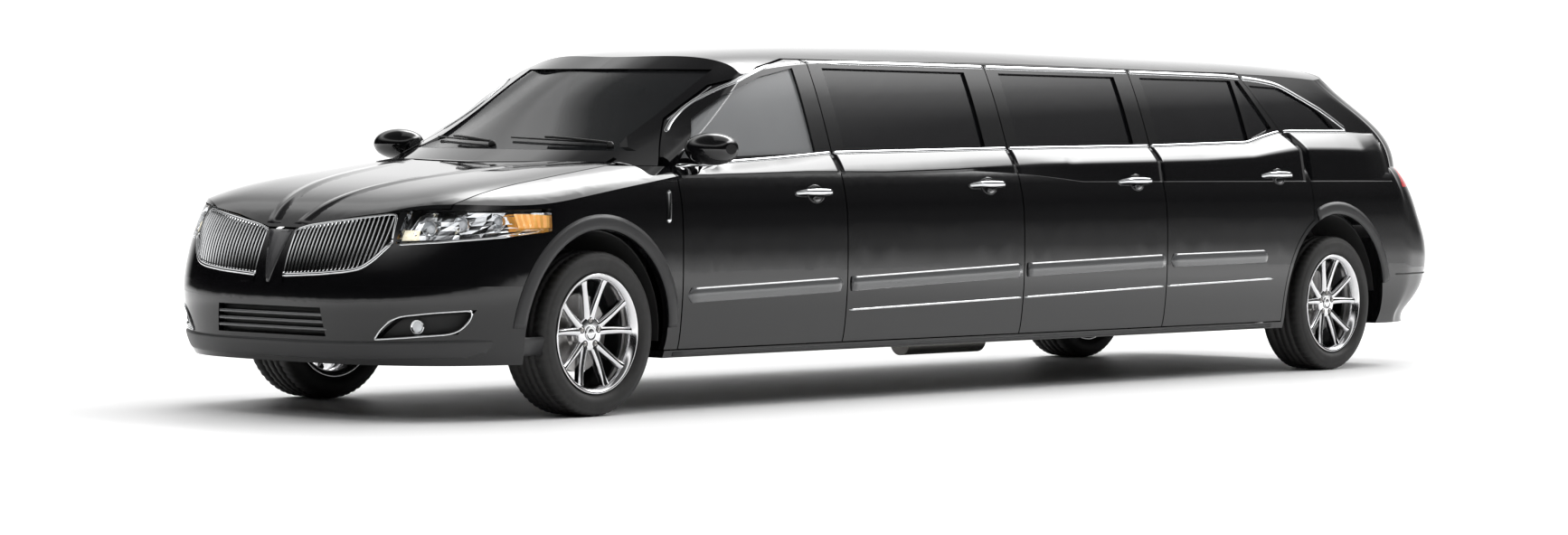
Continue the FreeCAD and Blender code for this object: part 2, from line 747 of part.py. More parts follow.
seat_share = 0.93
bead_share = 0.85


def make_tyre():
    half = size("tyre_width") / 2
    outer_radius = size("tyre_radius")
    flange = size("rim_radius") + seal
    bead = seat_share * size("rim_radius") + seal
    seat_y = bead_share * size("rim_width") / 2
    side = outer_radius - flange
    points = [(bead, seat_y), (flange, seat_y), (flange + 0.06 * side, 0.90 * half), (flange + 0.35 * side, half),
              (flange + 0.70 * side, 0.985 * half), (flange + 0.92 * side, 0.90 * half),
              (outer_radius, 0.72 * half)]
    return revolved(points + [(radius, -y) for radius, y in reversed(points)])


def make_rim():
    half = size("rim_width") / 2
    flange = size("rim_radius")
    seat = seat_share * flange
    inner = seat - 0.04 * flange
    barrel = revolved([
        (inner, half), (flange, half), (flange, 0.9 * half), (seat, 0.86 * half), (seat, -0.86 * half),
        (flange, -0.9 * half), (flange, -half), (inner, -half)])
    face_y = 0.55 * half
    hub = size("hub_radius")
    centre = revolved([(0, face_y - size("spoke_depth")), (hub, face_y - size("spoke_depth")), (hub, face_y),
                       (0.62 * hub, face_y + 0.2 * hub), (0, face_y + 0.2 * hub)])
    disc = revolved([(size("bore_radius"), 0), (size("brake_radius"), 0),
                     (size("brake_radius"), -size("brake_depth")), (size("bore_radius"), -size("brake_depth"))])
    hat = revolved([(size("bore_radius"), face_y - size("spoke_depth") + 1), (hub, face_y - size("spoke_depth") + 1),
                    (hub, -size("brake_depth")), (size("bore_radius"), -size("brake_depth"))])
    spokes = []
    for pair in range(5):
        for lean in (-1, 1):
            angle = pair * 72 + lean * 11
            foot = 0.5 * hub
            head = inner + 0.02 * flange
            spoke = side_prism([(-0.055 * flange, foot), (0.055 * flange, foot), (0.042 * flange, head),
                                (-0.042 * flange, head)], face_y - size("spoke_depth"), face_y)
            spoke.rotate(Vector(0, 0, 0), Vector(0, 1, 0), angle)
            spokes.append(spoke)
    return barrel.multiFuse([centre, disc, hat] + spokes)


def at_wheel(shape, axle_x):
    placed = shape.copy()
    placed.translate(Vector(axle_x, wheel_y, wheel_z))
    return placed


kingpin_y = wheel_y - 0.25 * size("tyre_width")


def make_knuckle():
    face = wheel_y - size("brake_depth") - size("steer_gap")
    radius = 0.8 * size("hub_radius")
    centre = Vector(front_axle, face, wheel_z)
    housing = cylinder(radius, centre, Vector(front_axle, kingpin_y - size("column_radius"), wheel_z))
    spindle = cylinder(size("bore_radius") - size("wheel_gap") / 10, centre,
                       Vector(front_axle, wheel_y - size("wheel_gap"), wheel_z))
    reach = 0.5 * size("rim_radius")
    upright = box(front_axle - size("column_radius"), front_axle + size("column_radius"),
                  kingpin_y - size("column_radius"), kingpin_y + size("column_radius") / 2,
                  wheel_z - reach, wheel_z + reach)
    return housing.multiFuse([spindle, upright])


def make_front_axle_frame():
    reach = 0.5 * size("rim_radius")
    half_length = 3 * size("shaft_radius")
    arm_top = wheel_z - reach - seal
    arm_foot = arm_top - 2 * size("bracket_depth")
    rail_foot = floor_bottom - size("floor_depth") - seal
    cross = box(front_axle - half_length, front_axle + half_length, -out(0.46), out(0.46), arm_foot, rail_foot)
    pieces = []
    for sign in (-1, 1):
        tip_y = sign * (kingpin_y + size("column_radius") / 2)
        pieces.append(plan_prism([(front_axle - half_length, sign * out(0.34)),
                                  (front_axle + half_length, sign * out(0.34)),
                                  (front_axle + size("column_radius"), tip_y),
                                  (front_axle - size("column_radius"), tip_y)], arm_foot, arm_top))
    return cross.multiFuse(pieces)


def make_struts():
    radius = size("column_radius")
    foot = wheel_z + 0.5 * size("rim_radius") + seal
    head = wheel_z + math.sqrt((size("arch_radius") - size("liner_depth") - seal) ** 2 - 4 * radius ** 2) - seal
    strut_y = kingpin_y - size("strut_offset")
    arm = box(front_axle - radius, front_axle + radius, strut_y, kingpin_y + radius / 2, foot, foot + 1.4 * radius)
    leg = cylinder(radius, Vector(front_axle, strut_y, foot), Vector(front_axle, strut_y, head))
    seat = cylinder(2 * radius, Vector(front_axle, strut_y, head - 2 * radius), Vector(front_axle, strut_y, head))
    return both_sides(arm.multiFuse([leg, seat]))


diff_radius = 3.6 * size("shaft_radius")


def make_rear_axle_frame():
    face = wheel_y - size("brake_depth") - size("wheel_gap")
    tube = cylinder(size("axle_radius"), Vector(rear_axle, -face, wheel_z), Vector(rear_axle, face, wheel_z))
    spindle = cylinder(size("bore_radius") - size("wheel_gap") / 10,
                       Vector(rear_axle, -wheel_y + size("wheel_gap"), wheel_z),
                       Vector(rear_axle, wheel_y - size("wheel_gap"), wheel_z))
    ball = Part.makeSphere(diff_radius, Vector(rear_axle, 0, wheel_z))
    pieces = [ball]
    for sign in (-1, 1):
        pieces.append(cylinder(0.8 * size("hub_radius"), Vector(rear_axle, sign * face, wheel_z),
                               Vector(rear_axle, sign * (face - size("hub_radius")), wheel_z)))
        y0, y1 = sorted((sign * out(0.46), sign * out(0.54)))
        pieces.append(box(rear_axle - 3 * size("shaft_radius"), rear_axle + 3 * size("shaft_radius"), y0, y1,
                          wheel_z - size("shaft_radius"), rear_floor - seal))
    return spindle.multiFuse([tube] + pieces)


# Floor, cabin and drive
floor_bottom = door_foot - gap + seal
floor_top = floor_bottom + size("floor_depth")
rear_floor = up(0.375)
firewall_x = cab(0.235)
kick_x = rear_axle + size("rear_arch_radius") + size("panel_depth")


def make_floor_pan():
    width = cabin_half_width
    depth = size("floor_depth")
    front = side_prism([(firewall_x, floor_bottom), (firewall_x, up(0.55)), (firewall_x - depth, up(0.55)),
                        (firewall_x - depth, floor_top), (kick_x, floor_top), (kick_x, floor_bottom)],
                       -width, width)
    narrow = rear_house_y - 2 * size("liner_depth")
    rear = side_prism([(kick_x + depth, floor_bottom), (kick_x + depth, rear_floor + depth),
                       (tail(0.70), rear_floor + depth), (tail(0.70), rear_floor), (kick_x, rear_floor),
                       (kick_x, floor_bottom)], -narrow, narrow)
    rails = []
    for sign in (-1, 1):
        y0, y1 = sorted((sign * out(0.38), sign * out(0.46)))
        rails.append(box(kick_x, nose(0.60), y0, y1, floor_bottom - depth, floor_bottom + depth / 2))
    for tunnel in both_sides(wheel_tunnel(front_axle, size("arch_radius"), front_house_y)).Solids:
        front = front.cut(tunnel)
    return front.multiFuse([rear] + rails)


def make_liner(x, radius, inner_y, foot_share):
    outer_radius = radius - seal
    ring = cylinder(outer_radius, Vector(x, inner_y, wheel_z), Vector(x, out(0.93), wheel_z))
    hollow = cylinder(outer_radius - size("liner_depth"), Vector(x, inner_y + size("liner_depth"), wheel_z),
                      Vector(x, half_width, wheel_z))
    low = box(x - 2 * radius, x + 2 * radius, 0, half_width, -overrun, wheel_z + foot_share * radius)
    return ring.cut(hollow).cut(low)


def make_dashboard():
    points = [(cab(0.26), up(0.44)), (cab(0.26), up(0.585)), (cab(0.42), up(0.612)), (cab(0.53), up(0.590)),
              (cab(0.55), up(0.545)), (cab(0.50), up(0.44))]
    width = cabin_half_width - size("panel_depth")
    top = side_prism(points, -width, width)
    console = box(cab(0.95), cab(0.27), -out(0.12), out(0.12), floor_top + seal, up(0.46))
    return top.fuse(console)


driver_y = out(0.41)
wheel_hub = Vector(cab(0.66), driver_y, up(0.575))
column_slope = 24


def column_point(distance):
    angle = math.radians(column_slope)
    return Vector(wheel_hub.x + distance * math.cos(angle), wheel_hub.y, wheel_hub.z - distance * math.sin(angle))


def make_steering_wheel():
    radius = size("steering_wheel_radius")
    grip = size("steering_grip_radius")
    rim = Part.makeTorus(radius, grip)
    spokes = []
    for angle in (0, 180, 270):
        spoke = box(0.1 * radius, radius, -grip, grip, -0.7 * grip, 0.3 * grip)
        spoke.rotate(Vector(0, 0, 0), Vector(0, 0, 1), angle)
        spokes.append(spoke)
    stalk = Part.makeCylinder(grip, 2 * grip, Vector(0, 0, -5 * grip))
    hub = Part.makeCylinder(0.26 * radius, 3 * grip, Vector(0, 0, -3 * grip))
    wheel = rim.multiFuse([hub, stalk] + spokes)
    wheel.rotate(Vector(0, 0, 0), Vector(0, 1, 0), -(90 - column_slope))
    wheel.translate(wheel_hub)
    return wheel


def make_column():
    radius = size("column_radius")
    start = column_point(5 * size("steering_grip_radius") + seal)
    column = cylinder(radius, start, column_point(2 * size("steering_wheel_radius")))
    return column.cut(make_dashboard()).Solids[0]


def seat_profile(front_x, z0, depth):
    length = size("seat_length")
    tall = size("seat_height")
    rise = size("backrest_height")
    return [(front_x, z0), (front_x, z0 + 0.9 * tall), (front_x - 0.06 * length, z0 + tall),
            (front_x - 0.82 * length, z0 + 0.92 * tall), (front_x - 1.08 * length, z0 + 0.92 * tall + rise),
            (front_x - 1.08 * length - 0.8 * depth, z0 + 0.92 * tall + rise), (front_x - length - depth * 0.7, z0)]


def make_front_seats():
    seats = []
    for sign in (-1, 1):
        y0 = sign * driver_y - size("seat_width") / 2
        profile = seat_profile(cab(0.80), floor_top + size("floor_depth") + seal, size("backrest_depth"))
        seat = side_prism(profile, y0, y0 + size("seat_width"))
        plinth = box(cab(0.80) - 0.8 * size("seat_length"), cab(0.80) - 0.2 * size("seat_length"),
                     y0 + 0.15 * size("seat_width"), y0 + 0.85 * size("seat_width"),
                     floor_top + seal, floor_top + 2 * size("floor_depth"))
        seats.append(seat.fuse(plinth))
    return Part.makeCompound(seats)


bench_shares = (0.23, 0.47, 0.715)


def make_benches():
    benches = []
    for share in bench_shares:
        x = mid(share)
        profile = seat_profile(x, floor_top + size("floor_depth") + seal, size("backrest_depth"))
        bench = side_prism(profile, -out(0.66), out(0.66))
        plinth = box(x - 0.8 * size("seat_length"), x - 0.2 * size("seat_length"), -out(0.5), out(0.5),
                     floor_top + seal, floor_top + 2 * size("floor_depth"))
        benches.append(bench.fuse(plinth))
    return Part.makeCompound(benches)


def make_engine():
    x = front_axle + 0.1 * size("engine_length")
    half = size("engine_length") / 2
    y = size("engine_width") / 2
    base = floor_bottom + size("floor_depth") / 2 + seal
    block = box(x - half, x + half, -y, y, base + size("shaft_radius"), base + size("engine_height"))
    sump = box(x - 0.7 * half, x + 0.7 * half, -out(0.44), out(0.44), base, base + 3 * size("shaft_radius"))
    return block.fuse(sump)


def make_propshaft():
    radius = size("shaft_radius")
    z = floor_bottom - radius - 2 * size("panel_gap")
    joint = Vector(kick_x - radius, 0, z)
    start = Vector(cab(0.22), 0, z)
    end = Vector(rear_axle + 3.4 * radius, 0, wheel_z - radius)
    shaft = cylinder(radius, start, joint).multiFuse([Part.makeSphere(radius, joint), cylinder(radius, joint, end)])
    hangers = []
    for share in (0.02, 0.5, 0.97):
        x = start.x + share * (joint.x - start.x)
        hangers.append(box(x - radius / 2, x + radius / 2, -2 * radius, 2 * radius, z, floor_bottom - seal))
    return shaft.cut(Part.makeSphere(diff_radius, Vector(rear_axle, 0, wheel_z))).multiFuse(hangers)


def make_exhaust():
    z = floor_bottom - size("pipe_radius") - size("panel_gap")
    y = out(0.28)
    pipe = cylinder(size("pipe_radius"), Vector(cab(0.3), y, z), Vector(mid(0.86), y, z))
    silencer = cylinder(1.9 * size("pipe_radius"), Vector(mid(0.30), y, z - size("pipe_radius")),
                        Vector(mid(0.45), y, z - size("pipe_radius")))
    radius = size("pipe_radius")
    hangers = []
    for share in (0.03, 0.25, 0.54, 0.97):
        x = cab(0.3) + share * (mid(0.86) - cab(0.3))
        hangers.append(box(x - radius / 2, x + radius / 2, y - radius / 2, y + radius / 2, z, floor_bottom - seal))
    return pipe.multiFuse([silencer] + hangers)


side_names = (("left", lambda shape: shape), ("right", mirrored))
parts = {}
for name, maker in (("body_shell", make_body_shell), ("front_bumper", make_front_bumper),
                    ("front_fenders", make_front_fender), ("rear_bumper", make_rear_bumper),
                    ("headlamps", make_headlamp), ("tail_lamps", make_tail_lamp), ("grille", make_grille_wing),
                    ("bonnet", make_bonnet), ("windscreen", make_windscreen), ("tailgate", make_tailgate),
                    ("tailgate_glass", make_tailgate_glass), ("quarter_glass", make_quarter_glass),
                    ("floor_pan", make_floor_pan), ("dashboard", make_dashboard),
                    ("steering_wheel", make_steering_wheel), ("steering_column", make_column),
                    ("front_seats", make_front_seats), ("passenger_benches", make_benches),
                    ("engine", make_engine), ("propshaft", make_propshaft), ("exhaust", make_exhaust),
                    ("front_axle_frame", make_front_axle_frame), ("front_struts", make_struts),
                    ("rear_axle_frame", make_rear_axle_frame)):
    parts[name] = maker()
for name in ("front_fenders", "headlamps", "tail_lamps", "grille", "quarter_glass"):
    parts[name] = both_sides(parts[name])
liners = [make_liner(front_axle, size("arch_radius"), front_house_y, -0.1),
          make_liner(rear_axle, size("rear_arch_radius"), rear_house_y, 0.12)]
parts["wheel_liners"] = Part.makeCompound(liners + [mirrored(liner) for liner in liners])
tyre = make_tyre()
rim = make_rim()
knuckle = make_knuckle()
for side, place in side_names:
    parts["front_%s_knuckle" % side] = place(knuckle)
    for end, axle_x in (("front", front_axle), ("rear", rear_axle)):
        parts["%s_%s_tyre" % (end, side)] = place(at_wheel(tyre, axle_x))
        parts["%s_%s_rim" % (end, side)] = place(at_wheel(rim, axle_x))
for index in range(4):
    door = make_door(index)
    glass = make_door_glass(index)
    for side, place in side_names:
        parts["door_%d_%s" % (index + 1, side)] = place(door)
        parts["door_%d_%s_glass" % (index + 1, side)] = place(glass)
for name, shape in parts.items():
    publish(name, shape)
doc.recompute()
for name in parts:
    doc.getObject(name).Shape.exportStep("parts/%s.step" % name)
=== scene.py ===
"""Looks of an eight-door stretch limousine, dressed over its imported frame."""

import json
import logging
import math
from dataclasses import dataclass
from enum import Enum
from typing import Any, Callable, Iterable, Iterator, Optional, Sequence

import bpy
from mathutils import Matrix, Vector
from mathutils.bvhtree import BVHTree


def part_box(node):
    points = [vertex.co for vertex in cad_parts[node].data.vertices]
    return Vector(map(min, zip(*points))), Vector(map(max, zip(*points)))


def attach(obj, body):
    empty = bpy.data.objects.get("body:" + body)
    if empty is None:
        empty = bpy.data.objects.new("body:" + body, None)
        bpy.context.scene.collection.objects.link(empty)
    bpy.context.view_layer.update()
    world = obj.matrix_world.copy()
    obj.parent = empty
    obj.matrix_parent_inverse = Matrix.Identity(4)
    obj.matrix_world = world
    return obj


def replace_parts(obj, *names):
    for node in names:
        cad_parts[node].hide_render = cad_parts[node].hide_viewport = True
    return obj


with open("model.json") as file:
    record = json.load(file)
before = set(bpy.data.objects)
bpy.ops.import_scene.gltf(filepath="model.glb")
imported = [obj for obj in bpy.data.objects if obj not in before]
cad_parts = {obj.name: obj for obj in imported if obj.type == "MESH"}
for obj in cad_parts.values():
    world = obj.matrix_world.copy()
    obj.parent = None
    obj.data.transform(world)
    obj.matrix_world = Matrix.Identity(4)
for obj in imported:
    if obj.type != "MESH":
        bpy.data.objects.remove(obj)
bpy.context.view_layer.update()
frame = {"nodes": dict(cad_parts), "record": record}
LOG = logging.getLogger("limousine")
Point2 = tuple[float, float]
Point3 = tuple[float, float, float]
Colour = tuple[float, float, float]
Mesh = tuple[list[Vector], list[tuple[int, ...]]]
Hit = tuple[Vector, Vector]
AHEAD, LEFTWARD, UP = Vector((1, 0, 0)), Vector((0, 1, 0)), Vector((0, 0, 1))


class Zone(Enum):
    """Stretches of the car that lengths are shared out over."""

    NOSE = "nose"
    CAB = "cab"
    MID = "mid"


class Side(Enum):
    """The two sides of the car."""

    LEFT = 1
    RIGHT = -1

    @property
    def word(self) -> str:
        """Name of the side, as bodies and nodes spell it."""
        return self.name.lower()


@dataclass(frozen=True)
class CarPlan:
    """Main lengths of the car, in metres, and places along it."""

    wheelbase: float = 6.043
    front_overhang: float = 1.115
    rear_overhang: float = 1.242
    cab_length: float = 1.740
    half_width: float = 0.965
    height: float = 1.712
    wheel_y: float = 0.828
    tyre_radius: float = 0.369

    @property
    def front_axle(self) -> float:
        """Place of the front axle."""
        return (self.wheelbase + self.rear_overhang - self.front_overhang) / 2

    @property
    def rear_axle(self) -> float:
        """Place of the rear axle."""
        return self.front_axle - self.wheelbase

    def along(self, zone: Zone, share: float) -> float:
        """Place along the car.

        Args:
            zone: Stretch of the car that the share is taken of.
            share: Share of that stretch, towards its far end.

        Returns:
            Distance along X in metres.
        """
        if zone is Zone.NOSE:
            return self.front_axle + share * self.front_overhang
        if zone is Zone.CAB:
            return self.front_axle - share * self.cab_length
        return self.front_axle - self.cab_length - share * (self.wheelbase - self.cab_length)


CAR = CarPlan()
DOOR_CUTS = (CAR.along(Zone.CAB, 0.316), CAR.along(Zone.CAB, 1.0), CAR.along(Zone.MID, 0.327),
             CAR.along(Zone.MID, 0.618), CAR.along(Zone.MID, 0.947))


@dataclass(frozen=True)
class Nodes:
    """Adds nodes to one node tree."""

    tree: bpy.types.NodeTree

    def add(self, kind: str, outlet: str, inputs: dict[Any, Any], **traits: str) -> bpy.types.NodeSocket:
        """Adds a node.

        Args:
            kind: Its type, without the beginning that all shader nodes share.
            outlet: Name of the output that is given back.
            inputs: Value or source socket of each input.
            **traits: Other settings of the node.

        Returns:
            The named output.
        """
        node = self.tree.nodes.new("ShaderNode" + kind)
        for key, value in traits.items():
            setattr(node, key, value)
        self.feed(node, inputs)
        return node.outputs[outlet]

    def feed(self, node: bpy.types.Node, inputs: dict[Any, Any]) -> None:
        """Sets or links inputs of a node.

        Args:
            node: Node of the tree.
            inputs: Value or source socket of each input.
        """
        for key, value in inputs.items():
            if isinstance(value, bpy.types.NodeSocket):
                self.tree.links.new(value, node.inputs[key])
            else:
                node.inputs[key].default_value = value


class Grain(Enum):
    """Patterns that a finish can carry."""

    CLOUD = "cloud"
    CELL = "cell"
    BRUSH = "brush"


@dataclass(frozen=True)
class Finish:
    """A surface finish, made as one node material for a material slot of the record."""

    name: str
    slot: str
    colour: Colour
    second: Colour
    roughness: float = 0.4
    rough_spread: float = 0.08
    metallic: float = 0.0
    coat: float = 0.0
    sheen: float = 0.0
    clear: float = 0.0
    alpha: float = 1.0
    glow: float = 0.0
    grain: Grain = Grain.CLOUD
    grain_scale: float = 60.0
    relief: float = 0.05
    depth: float = 0.0005
    ior: float = 1.5

    def material(self) -> bpy.types.Material:
        """Makes the material, or gives back the one already made.

        Returns:
            The node material of this finish.
        """
        made = bpy.data.materials.get(self.name)
        if made:
            return made
        made = bpy.data.materials.new(self.name)
        made.use_nodes = True
        nodes = Nodes(made.node_tree)
        place = nodes.add("TexCoord", "Object", {})
        value = self._pattern(nodes, place)
        cloud = nodes.add("TexNoise", "Fac", {"Scale": 7.0, "Detail": 5.0, "Vector": place})
        blend = {"A": (*self.colour, 1), "B": (*self.second, 1), "Factor": value}
        spread = {"To Min": max(self.roughness - self.rough_spread, 0.0),
                  "To Max": self.roughness + self.rough_spread, "Value": cloud}
        bump = {"Strength": self.relief, "Distance": self.depth, "Height": value}
        inputs = {
            "Base Color": nodes.add("Mix", "Result", blend, data_type="RGBA"),
            "Roughness": nodes.add("MapRange", "Result", spread), "Normal": nodes.add("Bump", "Normal", bump),
            "Metallic": self.metallic, "Coat Weight": self.coat, "Coat Roughness": 0.02,
            "Sheen Weight": self.sheen, "Transmission Weight": self.clear, "Alpha": self.alpha,
            "IOR": self.ior,
        }
        if self.glow:
            inputs |= {"Emission Color": (*self.colour, 1), "Emission Strength": self.glow}
        nodes.feed(made.node_tree.nodes["Principled BSDF"], inputs)
        made.diffuse_color = (*self.colour, 1)
        return made

    def _pattern(self, nodes: Nodes, place: bpy.types.NodeSocket) -> bpy.types.NodeSocket:
        """Adds the finish's pattern.

        Args:
            nodes: Nodes of the material.
            place: Object coordinates.

        Returns:
            The socket that holds the pattern's value.
        """
        if self.grain is Grain.CELL:
            return nodes.add("TexVoronoi", "Distance", {"Scale": self.grain_scale, "Vector": place},
                             feature="DISTANCE_TO_EDGE")
        if self.grain is Grain.BRUSH:
            place = nodes.add("Mapping", "Vector", {"Scale": (0.04, 1.0, 1.0), "Vector": place})
        return nodes.add("TexNoise", "Fac", {"Scale": self.grain_scale, "Detail": 6.0, "Vector": place})


PAINT = Finish("gloss_black_paint", "paint", (0.0025, 0.0025, 0.003), (0.0045, 0.0045, 0.005), 0.05, 0.02,
               coat=0.1, grain_scale=900, relief=0.01, depth=0.0002)
LENS = Finish("clear_lamp_lens", "lamp_lens", (0.97, 0.98, 1.0), (0.94, 0.96, 0.98), 0.0, 0.01, clear=1.0,
              ior=1.22, grain_scale=40, relief=0.01)
RED_LENS = Finish("red_lamp_lens", "red_lens", (0.55, 0.012, 0.014), (0.38, 0.006, 0.008), 0.05, 0.02,
                  clear=0.45, glow=0.25, grain=Grain.CELL, grain_scale=140, relief=0.25)
BRIGHT = Finish("bright_plated_trim", "bright_bars", (0.78, 0.79, 0.80), (0.68, 0.69, 0.70), 0.09, 0.04,
                metallic=1.0, grain_scale=220, relief=0.02)
CLEAR_GLASS = Finish("windscreen_glass", "clear_glass", (0.012, 0.013, 0.014), (0.018, 0.019, 0.020), 0.02,
                     0.01, alpha=0.62, grain_scale=3, relief=0.0)
# Front door glass: its grey base colour is painted light, standing in for the brightness seen through the
# glass and reflected in it.
FRONT_GLASS_PAINTED_LIGHT = Finish("front_door_glass", "tinted_glass", (0.19, 0.195, 0.20), (0.24, 0.245, 0.25), 0.02,
                     0.01, alpha=0.80, grain_scale=2, relief=0.0)
DARK_GLASS = Finish("privacy_glass", "tinted_glass", (0.004, 0.004, 0.005), (0.007, 0.007, 0.008), 0.02,
                    0.01, alpha=0.92, grain_scale=3, relief=0.0)
UNDERBODY = Finish("underbody_paint", "underbody", (0.014, 0.014, 0.014), (0.026, 0.025, 0.024), 0.62, 0.12,
                   grain_scale=45, relief=0.25, depth=0.001)
CABIN = Finish("cabin_plastic", "cabin_plastic", (0.018, 0.018, 0.02), (0.03, 0.03, 0.032), 0.55, 0.08,
               grain=Grain.CELL, grain_scale=520, relief=0.3, depth=0.0004)
LEATHER = Finish("seat_leather", "leather", (0.028, 0.025, 0.023), (0.055, 0.05, 0.046), 0.46, 0.10,
                 sheen=0.15, grain=Grain.CELL, grain_scale=420, relief=0.35, depth=0.0006)
CAST = Finish("rough_casting", "cast_metal", (0.16, 0.16, 0.155), (0.28, 0.28, 0.27), 0.55, 0.12,
              metallic=0.85, grain_scale=110, relief=0.5, depth=0.001)
STEEL = Finish("dull_steel", "bare_steel", (0.30, 0.29, 0.28), (0.46, 0.44, 0.42), 0.38, 0.10, metallic=1.0,
               grain=Grain.BRUSH, grain_scale=320, relief=0.12)
LINER = Finish("liner_plastic", "liner_plastic", (0.010, 0.010, 0.010), (0.018, 0.018, 0.018), 0.8, 0.1,
               grain_scale=160, relief=0.4)
RUBBER = Finish("tyre_rubber", "tyre", (0.012, 0.012, 0.012), (0.028, 0.027, 0.026), 0.66, 0.12,
                grain_scale=38, relief=0.2, depth=0.0008)
ALLOY = Finish("polished_alloy", "wheel_alloy", (0.80, 0.80, 0.81), (0.66, 0.66, 0.67), 0.13, 0.06,
               metallic=1.0, grain_scale=30, relief=0.05)
SATIN = Finish("satin_flare_plastic", "liner_plastic", (0.020, 0.020, 0.021), (0.032, 0.032, 0.033), 0.42,
               0.08, grain_scale=420, relief=0.15, depth=0.0003)
# Grey base colour is a painted highlight: the mouldings carry the black body paint, and the grey stands in
# for the light they catch. The intake bars use the same finish.
GREY_PAINTED_SHEEN = Finish("grey_gloss_moulding", "paint", (0.085, 0.087, 0.09), (0.11, 0.112, 0.115), 0.16, 0.05,
                    coat=0.7, grain_scale=600, relief=0.01)
SEAL = Finish("black_rubber_seal", "liner_plastic", (0.006, 0.006, 0.006), (0.012, 0.012, 0.012), 0.55, 0.1,
              grain_scale=300, relief=0.1)
MIRROR = Finish("mirror_glass", "bright_bars", (0.75, 0.78, 0.80), (0.70, 0.73, 0.76), 0.02, 0.01,
                metallic=1.0, grain_scale=4, relief=0.0)
AMBER = Finish("amber_marker_lens", "red_lens", (1.0, 0.55, 0.13), (0.62, 0.20, 0.03), 0.08, 0.04,
               glow=0.32, clear=0.35, grain_scale=26, relief=0.2)
PALE_BULB = Finish("frosted_bulb", "lamp_lens", (0.86, 0.88, 0.90), (0.70, 0.72, 0.74), 0.12, 0.05,
                   glow=0.12, relief=0.1)
LAMP_GLOW = Finish("warm_projector_lens", "lamp_lens", (1.0, 0.93, 0.72), (0.95, 0.85, 0.6), 0.08, 0.03,
                   glow=0.7, relief=0.1)
CARPET = Finish("cabin_carpet", "liner_plastic", (0.012, 0.012, 0.013), (0.03, 0.03, 0.031), 0.95, 0.04,
                sheen=0.3, grain_scale=700, relief=0.8, depth=0.002)
BRAKE = Finish("machined_disc", "wheel_alloy", (0.42, 0.41, 0.40), (0.55, 0.54, 0.53), 0.32, 0.08,
               metallic=1.0, grain_scale=240, relief=0.15)
MESH_DARK = Finish("dark_grille_mesh", "liner_plastic", (0.002, 0.002, 0.002), (0.009, 0.009, 0.009), 0.6,
                   0.1, grain=Grain.CELL, grain_scale=170, relief=0.4, depth=0.001)
# Grey base colour is a painted sheen: the beak carries the black body paint, and the lighter grey stands in
# for the light it catches.
BEAK_PAINTED_SHEEN = Finish("beak_painted_sheen_grey", "paint", (0.035, 0.035, 0.037), (0.05, 0.05, 0.052), 0.24, 0.06,
                  coat=0.4, grain_scale=500, relief=0.02)
MIRROR_DARK = Finish("dark_display_glass", "cabin_plastic", (0.004, 0.005, 0.007), (0.008, 0.009, 0.012),
                     0.06, 0.02, grain_scale=5, relief=0.0)
PLATE = Finish("blank_plate_enamel", "cabin_plastic", (0.62, 0.63, 0.62), (0.55, 0.56, 0.55), 0.35, 0.06,
               coat=0.2, relief=0.03)
FLOOR = Finish("studio_floor", "floor", (0.86, 0.86, 0.86), (0.83, 0.83, 0.83), 0.55, 0.08, grain_scale=2,
               relief=0.0)
SLOT_FINISHES = {finish.slot: finish for finish in (
    PAINT, LENS, RED_LENS, BRIGHT, CLEAR_GLASS, DARK_GLASS, UNDERBODY, CABIN, LEATHER, CAST, STEEL, LINER,
    RUBBER, ALLOY)}


def dress_nodes() -> None:
    """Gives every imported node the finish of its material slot."""
    slots = {part["node"]: part["material_slot"] for part in frame["record"]["subparts"]}
    for name, node in frame["nodes"].items():
        # The front doors' glass takes the grey finish whose colour is painted light.
        front_glass = name.startswith("door_1") and name.endswith("glass")
        finish = FRONT_GLASS_PAINTED_LIGHT if front_glass else SLOT_FINISHES[slots[name]]
        for index in range(len(node.material_slots)):
            node.material_slots[index].material = finish.material()


def add_piece(name: str, mesh: Mesh, finish: Finish, body: str = "car_body",
              smooth: bool = True, rounding: float = 0.0) -> bpy.types.Object:
    """Makes one shown piece and fixes it to a body.

    Args:
        name: Name of the piece.
        mesh: Its points and faces, in the part's frame.
        finish: Its finish.
        body: Body that it rides on.
        smooth: Whether faces are shaded smooth.
        rounding: Width of the rounding on sharp edges, or 0.

    Returns:
        The new object.
    """
    data = bpy.data.meshes.new(name)
    data.from_pydata([tuple(p) for p in mesh[0]], [], [tuple(f) for f in mesh[1]])
    data.validate()
    data.update()
    piece = bpy.data.objects.new(name, data)
    bpy.context.scene.collection.objects.link(piece)
    data.materials.append(finish.material())
    for face in data.polygons:
        face.use_smooth = smooth
    if rounding:
        bevel = piece.modifiers.new("rounding", "BEVEL")
        bevel.width = rounding
        bevel.segments = 2
        bevel.limit_method = "ANGLE"
    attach(piece, body)
    LOG.info("%s: %d points on %s", name, len(mesh[0]), body)
    return piece


def mirror(mesh: Mesh) -> Mesh:
    """Mirror image across the car's middle plane."""
    return [Vector((p.x, -p.y, p.z)) for p in mesh[0]], [tuple(reversed(f)) for f in mesh[1]]


def joined(meshes: Iterable[Mesh]) -> Mesh:
    """Several meshes as one.

    Args:
        meshes: Meshes that each count their own points.

    Returns:
        One mesh with all their points and faces.
    """
    points: list[Vector] = []
    faces: list[tuple[int, ...]] = []
    for part_points, part_faces in meshes:
        start = len(points)
        points += part_points
        faces += [tuple(i + start for i in face) for face in part_faces]
    return points, faces


def both(*meshes: Mesh) -> Mesh:
    """Meshes of the left side and their mirror image, as one mesh."""
    left = joined(meshes)
    return joined([left, mirror(left)])


def on_side(mesh: Mesh, side: Side) -> Mesh:
    """The mesh for one side, from the mesh of the left side."""
    return mesh if side is Side.LEFT else mirror(mesh)


